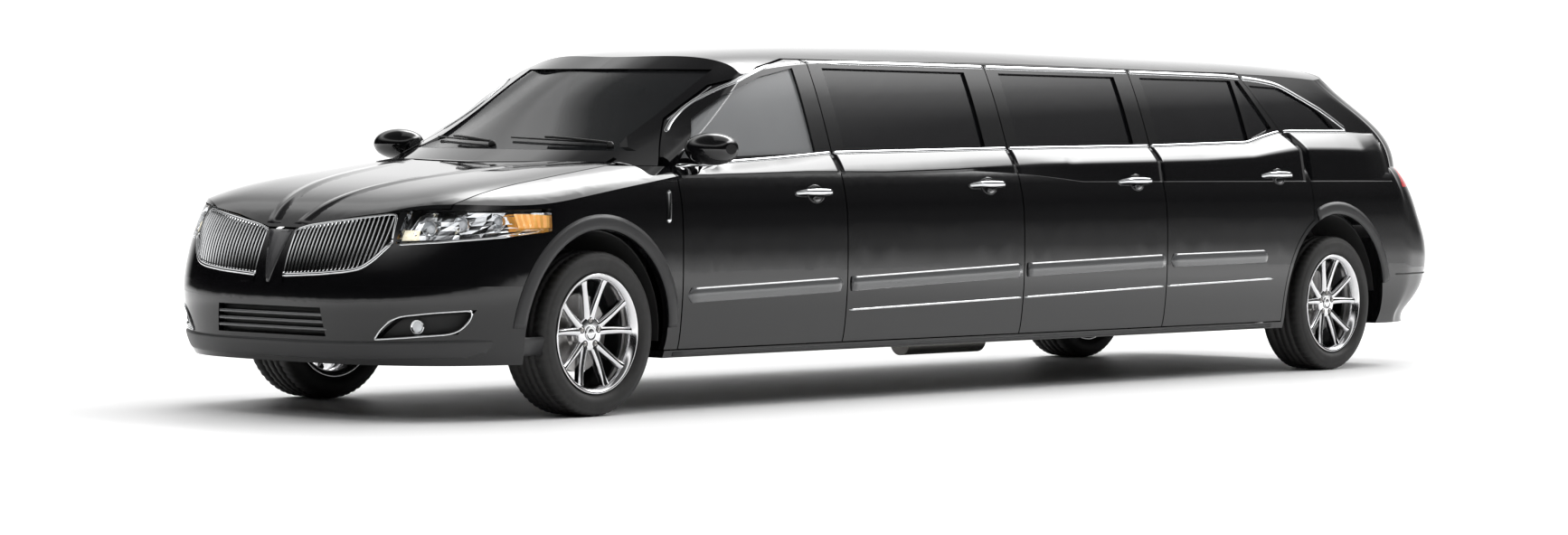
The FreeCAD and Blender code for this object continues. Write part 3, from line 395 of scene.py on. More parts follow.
def skin_rings(rings: Sequence[Sequence[Vector]], capped: bool = True) -> Mesh:
    """Faces between closed rings of equal count.

    Args:
        rings: Rings of points.
        capped: Whether the first and last ring are filled.

    Returns:
        The mesh of the skin.
    """
    count = len(rings[0])
    points = [p for ring in rings for p in ring]
    faces: list[tuple[int, ...]] = []
    for row in range(len(rings) - 1):
        for i in range(count):
            j = (i + 1) % count
            faces.append((row * count + i, row * count + j, (row + 1) * count + j, (row + 1) * count + i))
    if capped:
        faces.append(tuple(reversed(range(count))))
        faces.append(tuple(range((len(rings) - 1) * count, len(rings) * count)))
    return points, faces


def loop(middle: Vector, across: Vector, rise: Vector, steps: int, powers: Point2 = (1.0, 1.0),
         turn: float = 0.0) -> list[Vector]:
    """Oval or squared ring of points.

    Args:
        middle: Its middle.
        across: Half of its width.
        rise: Half of its height.
        steps: Count of points.
        powers: How square it is across and upwards: 1 for an oval, towards 0 for a box.
        turn: Share of a step that it starts at.

    Returns:
        The ring's points.
    """
    ring = []
    for step in range(steps):
        angle = 2 * math.pi * (step + turn) / steps
        wide, tall = (math.copysign(abs(value) ** power, value)
                      for value, power in zip((math.cos(angle), math.sin(angle)), powers))
        ring.append(middle + across * wide + rise * tall)
    return ring


def dish(middle: Vector, forward: Vector, profile: Sequence[Point2], steps: int = 28,
         capped: bool = True) -> Mesh:
    """Turned shape about a direction.

    Args:
        middle: Middle of its foot.
        forward: Direction that it faces.
        profile: Pairs of distance forward and radius.
        steps: Steps round the turn.
        capped: Whether its ends are filled.

    Returns:
        The mesh.
    """
    across = forward.cross(UP).normalized()
    rise = across.cross(forward)
    return skin_rings([loop(middle + forward * reach, across * radius, rise * radius, steps)
                       for reach, radius in profile], capped)


def tube(path: Sequence[Vector], radii: Sequence[Point2], sides: int = 12, up: Vector = UP) -> Mesh:
    """Round or oval tube along a path.

    Args:
        path: Points of the middle line.
        radii: Pairs of sideways and upward radius, one for each point or one for all.
        sides: Points round the tube.
        up: Direction that the second radius is measured near.

    Returns:
        The tube's mesh.
    """
    rings = []
    for index, middle in enumerate(path):
        ahead = path[min(index + 1, len(path) - 1)] - path[max(index - 1, 0)]
        ahead.normalize()
        across = ahead.cross(up).normalized()
        wide, tall = radii[min(index, len(radii) - 1)]
        rings.append(loop(middle, across * wide, across.cross(ahead) * tall, sides))
    return skin_rings(rings)


def resample(points: Sequence[Point2], pitch: float) -> list[Point2]:
    """Points at an even pitch along a polyline, its corners kept.

    Args:
        points: Corners of the polyline.
        pitch: Longest step.

    Returns:
        The finer polyline.
    """
    fine = [points[0]]
    for (x0, z0), (x1, z1) in zip(points, points[1:]):
        count = max(1, round(math.hypot(x1 - x0, z1 - z0) / pitch))
        fine += [(x0 + (x1 - x0) * k / count, z0 + (z1 - z0) * k / count) for k in range(1, count + 1)]
    return fine


def spaced(start: float, end: float, steps: int) -> Iterator[float]:
    """Evenly spaced values from start to end, both given."""
    return (start + (end - start) * k / steps for k in range(steps + 1))


def clamped(value: float) -> float:
    """The value, kept between 0 and 1."""
    return min(max(value, 0.0), 1.0)


class Skin:
    """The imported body's outer skin, found by rays."""

    def __init__(self, names: Sequence[str]) -> None:
        """Builds the ray trees of the named nodes."""
        self.trees = {name: self._tree(name) for name in names}

    @staticmethod
    def _tree(name: str) -> BVHTree:
        """Ray tree of one node."""
        data = frame["nodes"][name].data
        return BVHTree.FromPolygons([v.co for v in data.vertices], [tuple(p.vertices) for p in data.polygons])

    def hit(self, start: Vector, way: Vector, names: Optional[Sequence[str]] = None) -> Optional[Hit]:
        """First point that a ray meets.

        Args:
            start: Start of the ray.
            way: Its direction.
            names: Nodes that count, or all.

        Returns:
            The point and its outward normal, or None.
        """
        best = None
        for name in names or self.trees:
            point, normal, _, distance = self.trees[name].ray_cast(start, way)
            if point is not None and (best is None or distance < best[2]):
                best = (point, normal if normal.dot(way) < 0 else -normal, distance)
        return (best[0], best[1]) if best else None

    def side(self, x: float, z: float, names: Optional[Sequence[str]] = None) -> Optional[Hit]:
        """Point of the left side at a place along and a height."""
        return self.hit(Vector((x, 2.0, z)), -LEFTWARD, names)

    def tail(self, y: float, z: float, names: Optional[Sequence[str]] = None) -> Optional[Hit]:
        """Point of the tail at a distance out and a height."""
        return self.hit(Vector((-6.0, y, z)), AHEAD, names)

    def owned(self, line: Sequence[Point2], names: Sequence[str], start: float = 2.0) -> list[Hit]:
        """Points along a line of the left side where the named nodes are outermost.

        Args:
            line: Pairs of place along and height.
            names: Nodes that count.
            start: Distance out at which the rays start.

        Returns:
            Points and normals, one each 12 mm.
        """
        found = []
        for x, z in resample(line, 0.012):
            origin = Vector((x, start, z))
            mine, outer = self.hit(origin, -LEFTWARD, names), self.hit(origin, -LEFTWARD)
            if mine and outer and abs(mine[0].y - outer[0].y) < 0.002 and mine[0].y > 0.5:
                found.append(mine)
        return found


def evened(values: list[Vector], passes: int) -> list[Vector]:
    """Values averaged with their neighbours, the ends kept.

    Args:
        values: Values along a path.
        passes: How many times they are averaged.

    Returns:
        The evened values.
    """
    for _ in range(passes):
        inner = [(a + b * 2 + c) / 4 for a, b, c in zip(values, values[1:], values[2:])]
        values = [values[0], *inner, values[-1]]
    return values


@dataclass
class Strip:
    """A strip of trim that follows the skin."""

    width: float
    proud: float
    round_ends: bool = True
    smoothing: int = 6
    sunk: float = 0.002
    section: int = 8

    def mesh(self, hits: Sequence[Optional[Hit]]) -> Mesh:
        """Bows a rounded section along points of the skin.

        Args:
            hits: Points and normals of the skin, in order.

        Returns:
            The strip's mesh.
        """
        found = [hit for hit in hits if hit is not None]
        points = evened([hit[0] for hit in found], self.smoothing)
        normals = evened([hit[1] for hit in found], self.smoothing * 2)
        half = self.width / 2
        lengths = [0.0]
        for a, b in zip(points, points[1:]):
            lengths.append(lengths[-1] + (b - a).length)
        rings = []
        for index, point in enumerate(points):
            ahead = (points[min(index + 1, len(points) - 1)] - points[max(index - 1, 0)]).normalized()
            normal = (normals[index] - ahead * normals[index].dot(ahead)).normalized()
            across = ahead.cross(normal)
            nearest = min(lengths[index], lengths[-1] - lengths[index])
            share = 1.0
            if self.round_ends and nearest < half:
                share = max(math.sqrt(max(1 - (1 - nearest / half) ** 2, 0.0)), 0.08)
            ring = [point - across * (half * share) - normal * self.sunk]
            for angle in spaced(0, math.pi, self.section):
                ring.append(point - across * (half * share * math.cos(angle))
                            + normal * (self.proud * share * max(math.sin(angle), 0.0) ** 0.6))
            ring.append(point + across * (half * share) - normal * self.sunk)
            rings.append(ring)
        return skin_rings(rings)


SKIN = Skin([f"door_{i}_left" for i in range(1, 5)] + [
    "body_shell", "front_fenders", "front_bumper", "rear_bumper", "bonnet", "tailgate", "windscreen",
    "headlamps", "tail_lamps", "dashboard", "floor_pan"])
BELT = ((2.545, 1.113), (1.770, 1.153), (1.346, 1.180), (-0.061, 1.207), (-1.321, 1.226), (-2.239, 1.250),
        (-2.398, 1.281), (-2.545, 1.306), (-2.685, 1.314), (-3.264, 1.318), (-3.44, 1.312))
WINDOW_HEAD = ((2.515, 1.172), (2.430, 1.235), (2.300, 1.322), (2.165, 1.402), (1.985, 1.483),
               (1.81, 1.548), (1.64, 1.586), (1.45, 1.605), (1.351, 1.612), (0.6, 1.614), (-1.2, 1.612),
               (-2.20, 1.607), (-2.350, 1.600), (-2.52, 1.590), (-2.66, 1.575), (-2.80, 1.545),
               (-2.922, 1.488), (-3.05, 1.44), (-3.166, 1.384), (-3.267, 1.330))
CREASE = ((2.55, 1.070), (1.60, 1.088), (1.00, 1.086), (0.41, 1.100), (-0.27, 1.126), (-1.15, 1.140),
          (-1.75, 1.150), (-2.20, 1.168), (-2.45, 1.192), (-2.70, 1.215), (-3.10, 1.214), (-3.60, 1.200))


def height_on(line: Sequence[Point2], place: float) -> float:
    """Height of a line at a place.

    Args:
        line: Pairs of place and height, in order.
        place: Place that the height is wanted at.

    Returns:
        The height there, or past an end the height of that end.
    """
    for (start, z0), (end, z1) in zip(line, line[1:]):
        if min(start, end) <= place <= max(start, end):
            return z0 + (z1 - z0) * (place - start) / (end - start)
    return min((line[0], line[-1]), key=lambda corner: abs(corner[0] - place))[1]


def clipped(line: Sequence[Point2], front: float, back: float) -> list[Point2]:
    """Part of a rearward line between two places along the car."""
    inside = [(x, z) for x, z in line if back < x < front]
    return [(front, height_on(line, front))] + inside + [(back, height_on(line, back))]


@dataclass(frozen=True)
class Flank:
    """Plane that the body side runs up to the crease in, towards the rear."""

    foot: float = 1.040
    half_width: float = 0.9300
    slope: float = 0.185

    def y(self, z: float) -> float:
        """Half width at a height above the foot."""
        return self.half_width - (z - self.foot) * self.slope


FLANK = Flank()


@dataclass
class Shoulder:
    """Rolled shoulder between the crease and the belt strip, filled down to the flank.

    The leans say how much further forward an end is at the belt, and rounded is the radius of a rounded rear
    end.
    """

    front: float
    back: float
    names: tuple[str, ...]
    front_lean: float = 0.0
    back_lean: float = 0.0
    rounded: float = 0.0
    pitch: float = 0.03
    lean_reach: float = 0.3
    fill_start: float = 0.30
    fill_run: float = 0.90
    lift: float = 0.0085
    bulge: float = 0.003
    sunk: float = 0.004

    def mesh(self) -> Mesh:
        """Builds the panel.

        Returns:
            Its mesh, through the sections where the skin is found.
        """
        count = max(2, round((self.front - self.back) / self.pitch))
        spots = list(spaced(self.front, self.back, count))
        if self.rounded:
            spots += list(spaced(self.back, self.back - self.rounded, 5))[1:]
        rings = [self._section(x) for x in spots]
        return skin_rings([ring for ring in rings if ring])

    def _section(self, x: float) -> Optional[list[Vector]]:
        """Closed section of the panel.

        Args:
            x: Place along the car, at the crease.

        Returns:
            The section's points, or None where a named node has no skin.
        """
        lean = (self.front_lean * max(0.0, 1 - (self.front - x) / self.lean_reach)
                + self.back_lean * max(0.0, 1 - (x - self.back) / self.lean_reach))
        crease, belt = height_on(CREASE, x), height_on(BELT, x + lean) - 0.004
        if self.rounded and x < self.back:
            pinch = (belt - crease) / 2 * (1 - math.sqrt(max(1 - ((self.back - x) / self.rounded) ** 2, 0.0)))
            crease, belt = crease + pinch * 0.9, belt - pinch * 0.9
        filled = clamped((self.fill_start - x) / self.fill_run)
        base = SKIN.side(x, crease - 0.010 + (FLANK.foot + 0.010 - crease) * filled, self.names)
        low = SKIN.side(x, crease, self.names)
        high = SKIN.side(x + lean, belt, self.names)
        if base is None or low is None or high is None or high[0].y < 0.5:
            return None
        foot = low[0] + low[1] * self.lift
        ending = clamped((x - self.back) / 0.20) if self.rounded else 1.0
        foot.y += (FLANK.y(crease) - foot.y) * filled * (0.3 + 0.7 * ending)
        head = high[0] + high[1] * 0.0010
        rim = base[0] + base[1] * 0.0004
        proud = AHEAD.cross((head - foot).normalized())
        if proud.y < 0:
            proud = -proud
        lower = [rim + (foot - rim) * share for share in (0, 0.04, 0.25, 0.5, 0.75, 0.93)]
        upper = [foot + (head - foot) * share + proud * (self.bulge * math.sin(math.pi * share))
                 for share in (0.05, 0.16, 0.3, 0.45, 0.6, 0.75, 0.9, 1.0)]
        return [base[0] - base[1] * self.sunk] + lower + upper + [high[0] - high[1] * self.sunk]


@dataclass
class DoorTrim:
    """Strips, moulding, handle and window trim of the eight doors."""

    gap: float = 0.007
    shoulder_gap: float = 0.0042
    moulding_tops: tuple[float, ...] = (0.563, 0.594, 0.637, 0.665, 0.675)
    moulding_height: float = 0.072
    moulding_end: float = -2.27
    handle_places: tuple[Point3, ...] = (
        (1.714, 1.444, 0.990), (0.358, 0.071, 1.025), (-0.913, -1.209, 1.040), (-2.255, -2.552, 1.070))
    belt_ends: Point2 = (2.50, -2.60)
    lower_ends: Point2 = (1.325, -2.33)
    head_ends: Point2 = (2.51, -2.50)
    roll_ends: Point2 = (2.505, -2.683)
    roll_lean: float = 0.089
    cup_rings: tuple[Point2, ...] = ((0.0605, -0.002), (0.060, 0.0035), (0.054, 0.0045), (0.048, 0.002),
                                     (0.02, 0.001))
    lower_line: tuple[Point2, ...] = ((1.325, 0.434), (-0.05, 0.464), (-1.265, 0.495), (-2.345, 0.517))

    def build(self) -> None:
        """Makes the trim of all doors."""
        for index in range(4):
            pieces = self._pieces(index)
            for side in Side:
                body = f"door_{index + 1}_{side.word}"
                for name, mesh, finish in pieces:
                    add_piece(f"{body}_{name}", on_side(mesh, side), finish, body)

    def _pieces(self, index: int) -> list[tuple[str, Mesh, Finish]]:
        """Makes the meshes of one left door's trim.

        Args:
            index: Number of the door from the front, from 0.

        Returns:
            Name, mesh and finish of each piece.
        """
        left = (f"door_{index + 1}_left",)
        first, last = index == 0, index == 3
        front, back = DOOR_CUTS[index] - self.gap, DOOR_CUTS[index + 1] + self.gap

        def part(whole: Sequence[Point2], ends: Point2) -> list[Point2]:
            """The door's part of a line, within two ends."""
            return clipped(whole, min(front, ends[0]), max(back, ends[1]))

        middle = self.moulding_height / 2
        line = [(front - 0.028 if first else front + 0.004, self.moulding_tops[index] - middle),
                (self.moulding_end if last else back - 0.004, self.moulding_tops[index + 1] - middle)]
        belt = SKIN.owned(part(BELT, self.belt_ends), left)
        moulding = Strip(self.moulding_height, 0.013, round_ends=first or last)
        # The moulding's grey finish is a painted highlight on a strip that is really body-coloured black.
        pieces = [("belt_strip", Strip(0.016, 0.005).mesh(belt), BRIGHT),
                  ("moulding", moulding.mesh(self._hits(left, line)), GREY_PAINTED_SHEEN)]
        if index:
            lower = self._hits(left, part(self.lower_line, self.lower_ends))
            pieces.append(("lower_strip", Strip(0.009, 0.004).mesh(lower), BRIGHT))
        edge = self.gap - self.shoulder_gap
        ahead, behind = self.roll_ends
        roll = Shoulder(min(front + edge, ahead), behind if last else back - edge, left,
                        back_lean=self.roll_lean if last else 0.0)
        head = SKIN.owned(part(WINDOW_HEAD, self.head_ends), left, 0.885 if first else 2.0)
        x0, x1, z = self.handle_places[index]
        return pieces + [
            ("shoulder", roll.mesh(), PAINT), ("handle", self._handle(x0, x1, z, left), BRIGHT),
            ("handle_cup", self._cup((x0 + x1) / 2 - 0.01, z, left, index > 0), PAINT),
            ("window_strip", Strip(0.022, 0.005).mesh(head), BRIGHT)]

    @staticmethod
    def _hits(names: Sequence[str], line: Sequence[Point2]) -> list[Optional[Hit]]:
        """Skin points of a door under a line."""
        return [SKIN.side(x, z, names) for x, z in resample(line, 0.03)]

    @staticmethod
    def _handle(x0: float, x1: float, z: float, names: Sequence[str]) -> Mesh:
        """Bowed pull handle.

        Args:
            x0: Its front end.
            x1: Its rear end.
            z: Its height.
            names: Node of the door.

        Returns:
            The handle's mesh.
        """
        path = []
        radii = []
        for step in range(25):
            bow = math.sin(math.pi * step / 24)
            point, normal = SKIN.side(x0 + (x1 - x0) * step / 24, z, names)
            path.append(point + normal * (0.034 * min(bow * 1.9, 1.0) ** 0.7 - 0.004))
            radii.append((0.008, 0.015 * (0.6 + 0.4 * bow)))
        return tube(path, radii, 14)

    def _cup(self, x: float, z: float, names: Sequence[str], flanked: bool) -> Mesh:
        """Dished cup behind a handle.

        Args:
            x: Its middle along the car.
            z: Height of the handle.
            names: Node of the door.
            flanked: Whether the door's shoulder is filled down to the flank.

        Returns:
            The cup's mesh.
        """
        rings = []
        for radius, proud in self.cup_rings:
            ring = []
            for spot in loop(Vector((x, 0, z - 0.004)), AHEAD * (1.05 * radius), UP * (0.72 * radius), 32):
                point, normal = SKIN.side(spot.x, spot.z, names)
                if flanked and spot.z > FLANK.foot:
                    point.y = max(point.y, FLANK.y(spot.z))
                ring.append(point + normal * proud)
            rings.append(ring)
        return skin_rings(rings)


@dataclass
class Wheel:
    """One road wheel: tyre with tread, ten-arm rim, brake disc and nuts."""

    end: str
    side: Side
    tyre_width: float = 0.255
    rim_radius: float = 0.269
    rim_width: float = 0.236
    steps: int = 180
    grooves: tuple[float, ...] = (-0.058, -0.020, 0.020, 0.058)
    nut_circle: float = 0.0572
    disc: tuple[Point2, ...] = (
        (0.0, 0.176), (-0.0005, 0.174), (-0.028, 0.174), (-0.028, 0.176), (-0.0285, 0.100), (-0.026, 0.080),
        (-0.024, 0.036), (0.030, 0.036), (0.034, 0.072), (0.028, 0.078), (0.001, 0.080), (0.0, 0.098))
    arm_foot: float = 0.052
    hub_face: float = 0.60
    arm_section: tuple[Point2, ...] = ((-1.0, -0.006), (-0.72, 0.001), (-0.25, 0.0035), (0.25, 0.0035),
                                       (0.72, 0.001), (1.0, -0.006))

    @property
    def centre(self) -> Vector:
        """Middle of the wheel on the left side."""
        axle = CAR.front_axle if self.end == "front" else CAR.rear_axle
        return Vector((axle, CAR.wheel_y, CAR.tyre_radius))

    def build(self) -> None:
        """Makes the wheel's pieces."""
        corner = f"{self.end}_{self.side.word}"
        body = corner + "_wheel"
        face = self.hub_face * self.rim_width / 2
        # Nut wells: black discs just proud of the hub face round each nut, painted shade standing in for the
        # dark recesses that the nuts sit in.
        well_face = 0.605 * self.rim_width / 2
        shade_wells = ((well_face - 0.004, 0.0165), (well_face + 0.0006, 0.0165), (well_face + 0.0002, 0.013),
                 (well_face - 0.003, 0.006))
        nuts = ((face - 0.006, 0.0095), (face + 0.0035, 0.0095), (face + 0.0055, 0.006),
                (face + 0.0062, 0.002))
        cap = ((face - 0.002, 0.0325), (face + 0.005, 0.032), (face + 0.0062, 0.0295),
               (face + 0.0045, 0.028), (face + 0.0058, 0.020), (face + 0.0066, 0.010),
               (face + 0.0069, 0.001))
        for name, mesh, finish, rounding, stands_for in (
                ("tread_tyre", self._tyre(), RUBBER, 0.0, "tyre"),
                ("arms", self._arms(), ALLOY, 0.003, "rim"),
                ("barrel", self._barrel(), ALLOY, 0.0, ""),
                ("disc", self._revolve(self.disc, 72), BRAKE, 0.001, ""),
                ("nuts", self._five(nuts, 6), STEEL, 0.0, ""),
                ("nut_shade_wells", self._five(shade_wells, 20), SEAL, 0.0, ""),
                ("hub_cap", dish(self.centre, LEFTWARD, cap, 40), ALLOY, 0.0, "")):
            piece = add_piece(f"{body}_{name}", on_side(mesh, self.side), finish, body,
                              name != "nuts", rounding)
            if stands_for:
                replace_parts(piece, f"{corner}_{stands_for}")

    def _revolve(self, profile: Sequence[Point2], steps: int,
                 warp: Optional[Callable[[int, int, float], float]] = None) -> Mesh:
        """Turns a profile about the axle line.

        Args:
            profile: Pairs of distance along Y and radius, closed.
            steps: Steps round the turn.
            warp: Radius change for a step and profile index, if any.

        Returns:
            The turned mesh.
        """
        rings = []
        for step in range(steps):
            angle = 2 * math.pi * step / steps
            ring = []
            for index, (along, radius) in enumerate(profile):
                reach = radius + (warp(step, index, radius) if warp else 0.0)
                ring.append(self.centre + Vector((reach * math.sin(angle), along, reach * math.cos(angle))))
            rings.append(ring)
        points, faces = skin_rings(rings + [rings[0]], False)
        limit = steps * len(profile)
        return points[:limit], [tuple(i % limit for i in face) for face in faces]

    def _tyre(self) -> Mesh:
        """Tyre with grooves round it and cuts across its shoulders.

        Returns:
            The tyre's mesh.
        """
        half = self.tyre_width / 2
        outer = CAR.tyre_radius
        flange = self.rim_radius + 0.0006
        edge = 0.85 * self.rim_width / 2
        wall = [(edge, 0.93 * self.rim_radius + 0.0006), (edge, flange)]
        wall += [(wide * half, flange + tall * (outer - flange)) for wide, tall in (
            (0.87, 0.03), (0.90, 0.08), (0.925, 0.09), (0.97, 0.22), (0.985, 0.235), (1.0, 0.40),
            (0.999, 0.56), (0.985, 0.70), (0.975, 0.71), (0.965, 0.78), (0.935, 0.87), (0.87, 0.95),
            (0.80, 0.98))]
        tread = [(groove + offset, outer - depth - 0.0035 * (abs(groove + offset) / half) ** 2)
                 for groove in reversed(self.grooves)
                 for offset, depth in ((0.006, 0.0), (0.0045, 0.008), (-0.0045, 0.008), (-0.006, 0.0))]
        profile = wall + tread + [(-y, r) for y, r in reversed(wall)]

        def cut(step: int, index: int, radius: float) -> float:
            """Depth of the cuts across the shoulders.

            Args:
                step: Step round the tyre.
                index: Number of the profile's point.
                radius: Radius of that point.

            Returns:
                Change of the radius.
            """
            along = abs(profile[index][0])
            if radius > CAR.tyre_radius - 0.012 and along > 0.05 and step % 3 == 0:
                return -0.006
            if radius > CAR.tyre_radius - 0.006 and along < 0.055 and step % 3 == 1:
                return -0.0025
            return 0.0

        return self._revolve(profile, self.steps, cut)

    def _barrel(self) -> Mesh:
        """Rim barrel with its two lips.

        Returns:
            The barrel's mesh.
        """
        half = self.rim_width / 2
        rim = self.rim_radius
        seat = 0.93 * rim
        profile = [(0.995, rim - 0.0005), (1.0, rim - 0.004), (0.995, rim - 0.010), (0.94, rim - 0.016),
                   (0.88, seat - 0.006), (0.5, seat - 0.012), (-0.86, seat - 0.012), (-0.96, rim - 0.016),
                   (-1.0, rim - 0.004), (-0.99, rim - 0.0005), (-0.92, rim - 0.001), (-0.86, seat),
                   (0.86, seat), (0.92, rim - 0.001)]
        return self._revolve([(share * half, radius) for share, radius in profile], 96)

    def _arms(self) -> Mesh:
        """Ten crowned arms in five pairs and the hub that they spring from.

        Returns:
            The mesh of the arms and the hub.
        """
        half = self.rim_width / 2
        meshes = []
        for pair in range(5):
            for lean in (-1, 1):
                foot_angle = math.radians(90 + pair * 72 + lean * 11)
                head_angle = math.radians(90 + pair * 72 + lean * 16.5)
                rings = []
                for share in spaced(0, 1, 8):
                    radius = self.arm_foot + (self.rim_radius - 0.013 - self.arm_foot) * share
                    angle = foot_angle + (head_angle - foot_angle) * share
                    wide = 0.0215 - 0.0075 * share ** 0.8 + 0.03 * max(share - 0.8, 0)
                    face = 0.56 * half + 0.010 * math.sin(math.pi * share) + 0.30 * half * share ** 3
                    deep = 0.040 - 0.012 * share
                    outward = Vector((math.cos(angle), 0, math.sin(angle)))
                    across = Vector((-math.sin(angle), 0, math.cos(angle)))
                    section = ((-1.05, -deep), *self.arm_section, (1.05, -deep))
                    rings.append([self.centre + outward * radius + across * (wide * a) + LEFTWARD * (face + b)
                                  for a, b in section])
                meshes.append(skin_rings(rings))
        hub = [(share * half, radius) for share, radius in (
            (0.0, 0.0005), (0.30, 0.0005), (0.30, 0.070), (0.55, 0.078), (0.585, 0.074), (0.60, 0.066),
            (0.60, 0.034), (0.60, 0.0005))]
        return joined(meshes + [dish(self.centre, LEFTWARD, hub, 60, False)])

    def _five(self, profile: Sequence[Point2], sides: int) -> Mesh:
        """Five copies of a small turned shape round the hub.

        Args:
            profile: Pairs of distance out and radius.
            sides: Points round each copy.

        Returns:
            The copies' mesh.
        """
        angles = [math.radians(90 + index * 72) for index in range(5)]
        spots = [self.centre + Vector((math.cos(a), 0, math.sin(a))) * self.nut_circle for a in angles]
        return joined(dish(spot, LEFTWARD, profile, sides) for spot in spots)


@dataclass
class ArchFlare:
    """Satin band round each wheel arch."""

    width: float = 0.070
    proud: tuple[float, ...] = (0.006, 0.008, 0.007, 0.0035)
    arches: tuple[tuple[str, float, float, float, float], ...] = (
        ("front", CAR.front_axle, 0.462, 2, 176), ("rear", CAR.rear_axle, 0.490, 12, 178))

    def build(self) -> None:
        """Makes the bands of both axles on both sides."""
        for end, x, radius, first, last in self.arches:
            rows = [self._row(x, radius, math.radians(angle)) for angle in spaced(first, last, 60)]
            rings = [self._section(row) for row in rows
                     if all(hit is not None and hit[0].y > 0.80 for hit in row)]
            for side in Side:
                add_piece(f"{end}_{side.word}_arch_flare", on_side(skin_rings(rings), side), SATIN)

    def _row(self, x: float, radius: float, angle: float) -> list[Optional[Hit]]:
        """Skin points across the band.

        Args:
            x: Place of the axle.
            radius: Radius of the arch.
            angle: Angle round the arch, from the front.

        Returns:
            Points and normals, from the inner edge out.
        """
        reaches = [radius + offset for offset in (0.004, 0.3 * self.width, 0.7 * self.width, self.width)]
        names = ("front_fenders", "front_bumper", "body_shell", "rear_bumper")
        return [SKIN.side(x - reach * math.cos(angle), CAR.tyre_radius + reach * math.sin(angle), names)
                for reach in reaches]

    def _section(self, row: Sequence[Hit]) -> list[Vector]:
        """Closed section of the band from skin points across it."""
        top = [point + normal * rise for (point, normal), rise in zip(row, self.proud)]
        return top + [point - normal * 0.003 for point, normal in (row[-1], row[0])]


@dataclass(frozen=True)
class NoseForm:
    """The rounded nose between its sections, for openings that have no skin."""

    sections: tuple[Point3, ...] = (
        (0.143, 0.953, 0.950), (0.199, 0.981, 0.985), (0.263, 0.993, 1.000), (0.339, 1.000, 1.000),
        (0.409, 1.000, 0.970), (0.497, 0.9955, 0.900), (0.555, 0.985, 0.830), (0.602, 0.966, 0.755))
    start_share: float = 0.09

    def shares(self, z: float) -> Point2:
        """Width and reach shares at a height, on a smooth curve through the sections.

        Args:
            z: Height in metres.

        Returns:
            Share of the half width and share of the nose's reach.
        """
        rise = min(max(z / CAR.height, self.sections[0][0]), self.sections[-1][0])
        index = max(i for i, row in enumerate(self.sections[:-1]) if row[0] <= rise)
        rows = [self.sections[min(max(i, 0), len(self.sections) - 1)] for i in range(index - 1, index + 3)]
        low, high = rows[1][0], rows[2][0]
        t = (rise - low) / (high - low)
        values = []
        for column in (1, 2):
            before, first, second, after = (row[column] for row in rows)
            lead = (second - before) / max(high - rows[0][0], 0.01) * (high - low)
            trail = (after - first) / max(rows[3][0] - low, 0.01) * (high - low)
            values.append((2 * t ** 3 - 3 * t ** 2 + 1) * first + (t ** 3 - 2 * t ** 2 + t) * lead
                          + (3 * t ** 2 - 2 * t ** 3) * second + (t ** 3 - t ** 2) * trail)
        return values[0], values[1]

    def at(self, y: float, z: float, inset: float = 0.0) -> Vector:
        """Point of the nose at a distance out and a height.

        Args:
            y: Distance to the left of the middle.
            z: Height.
            inset: Depth under the skin.

        Returns:
            The point.
        """
        width, reach = self.shares(z)
        half = width * CAR.half_width - inset
        length = CAR.front_overhang * (1 - self.start_share) * reach - inset
        share = min(abs(y) / half, 0.9999)
        return Vector((CAR.along(Zone.NOSE, self.start_share) + length * (1 - share ** 3) ** (1 / 3), y, z))

    def normal(self, y: float, z: float) -> Vector:
        """Outward direction of the nose at a distance out and a height.

        Args:
            y: Distance to the left of the middle.
            z: Height.

        Returns:
            The direction, of length 1.
        """
        step = 0.004
        across = self.at(y + step, z) - self.at(y - step, z)
        rise = self.at(y, z + step) - self.at(y, z - step)
        return across.cross(rise).normalized()

    def hits(self, line: Sequence[Point2], pitch: float) -> list[Hit]:
        """Points and outward directions of the nose along a line of distances out and heights."""
        return [(self.at(y, z), self.normal(y, z)) for y, z in resample(line, pitch)]

    def sheet(self, span: Point2, low: Sequence[Point2], high: Sequence[Point2], inset: float,
              columns: int = 16, rows: int = 5, margin: float = 0.0) -> Mesh:
        """Sheet 3 mm thick behind an opening.

        Args:
            span: Its inner and outer ends.
            low: Line of its lower edge.
            high: Line of its upper edge.
            inset: Depth of its face under the skin.
            columns: Steps along it.
            rows: Steps up it.
            margin: How far it passes both lines.

        Returns:
            The sheet's mesh.
        """
        rings = []
        for y in spaced(*span, columns):
            heights = list(spaced(height_on(low, y) - margin, height_on(high, y) + margin, rows))
            rings.append([self.at(y, z, inset) for z in heights]
                         + [self.at(y, z, inset + 0.003) for z in reversed(heights)])
        return skin_rings(rings)


NOSE = NoseForm()


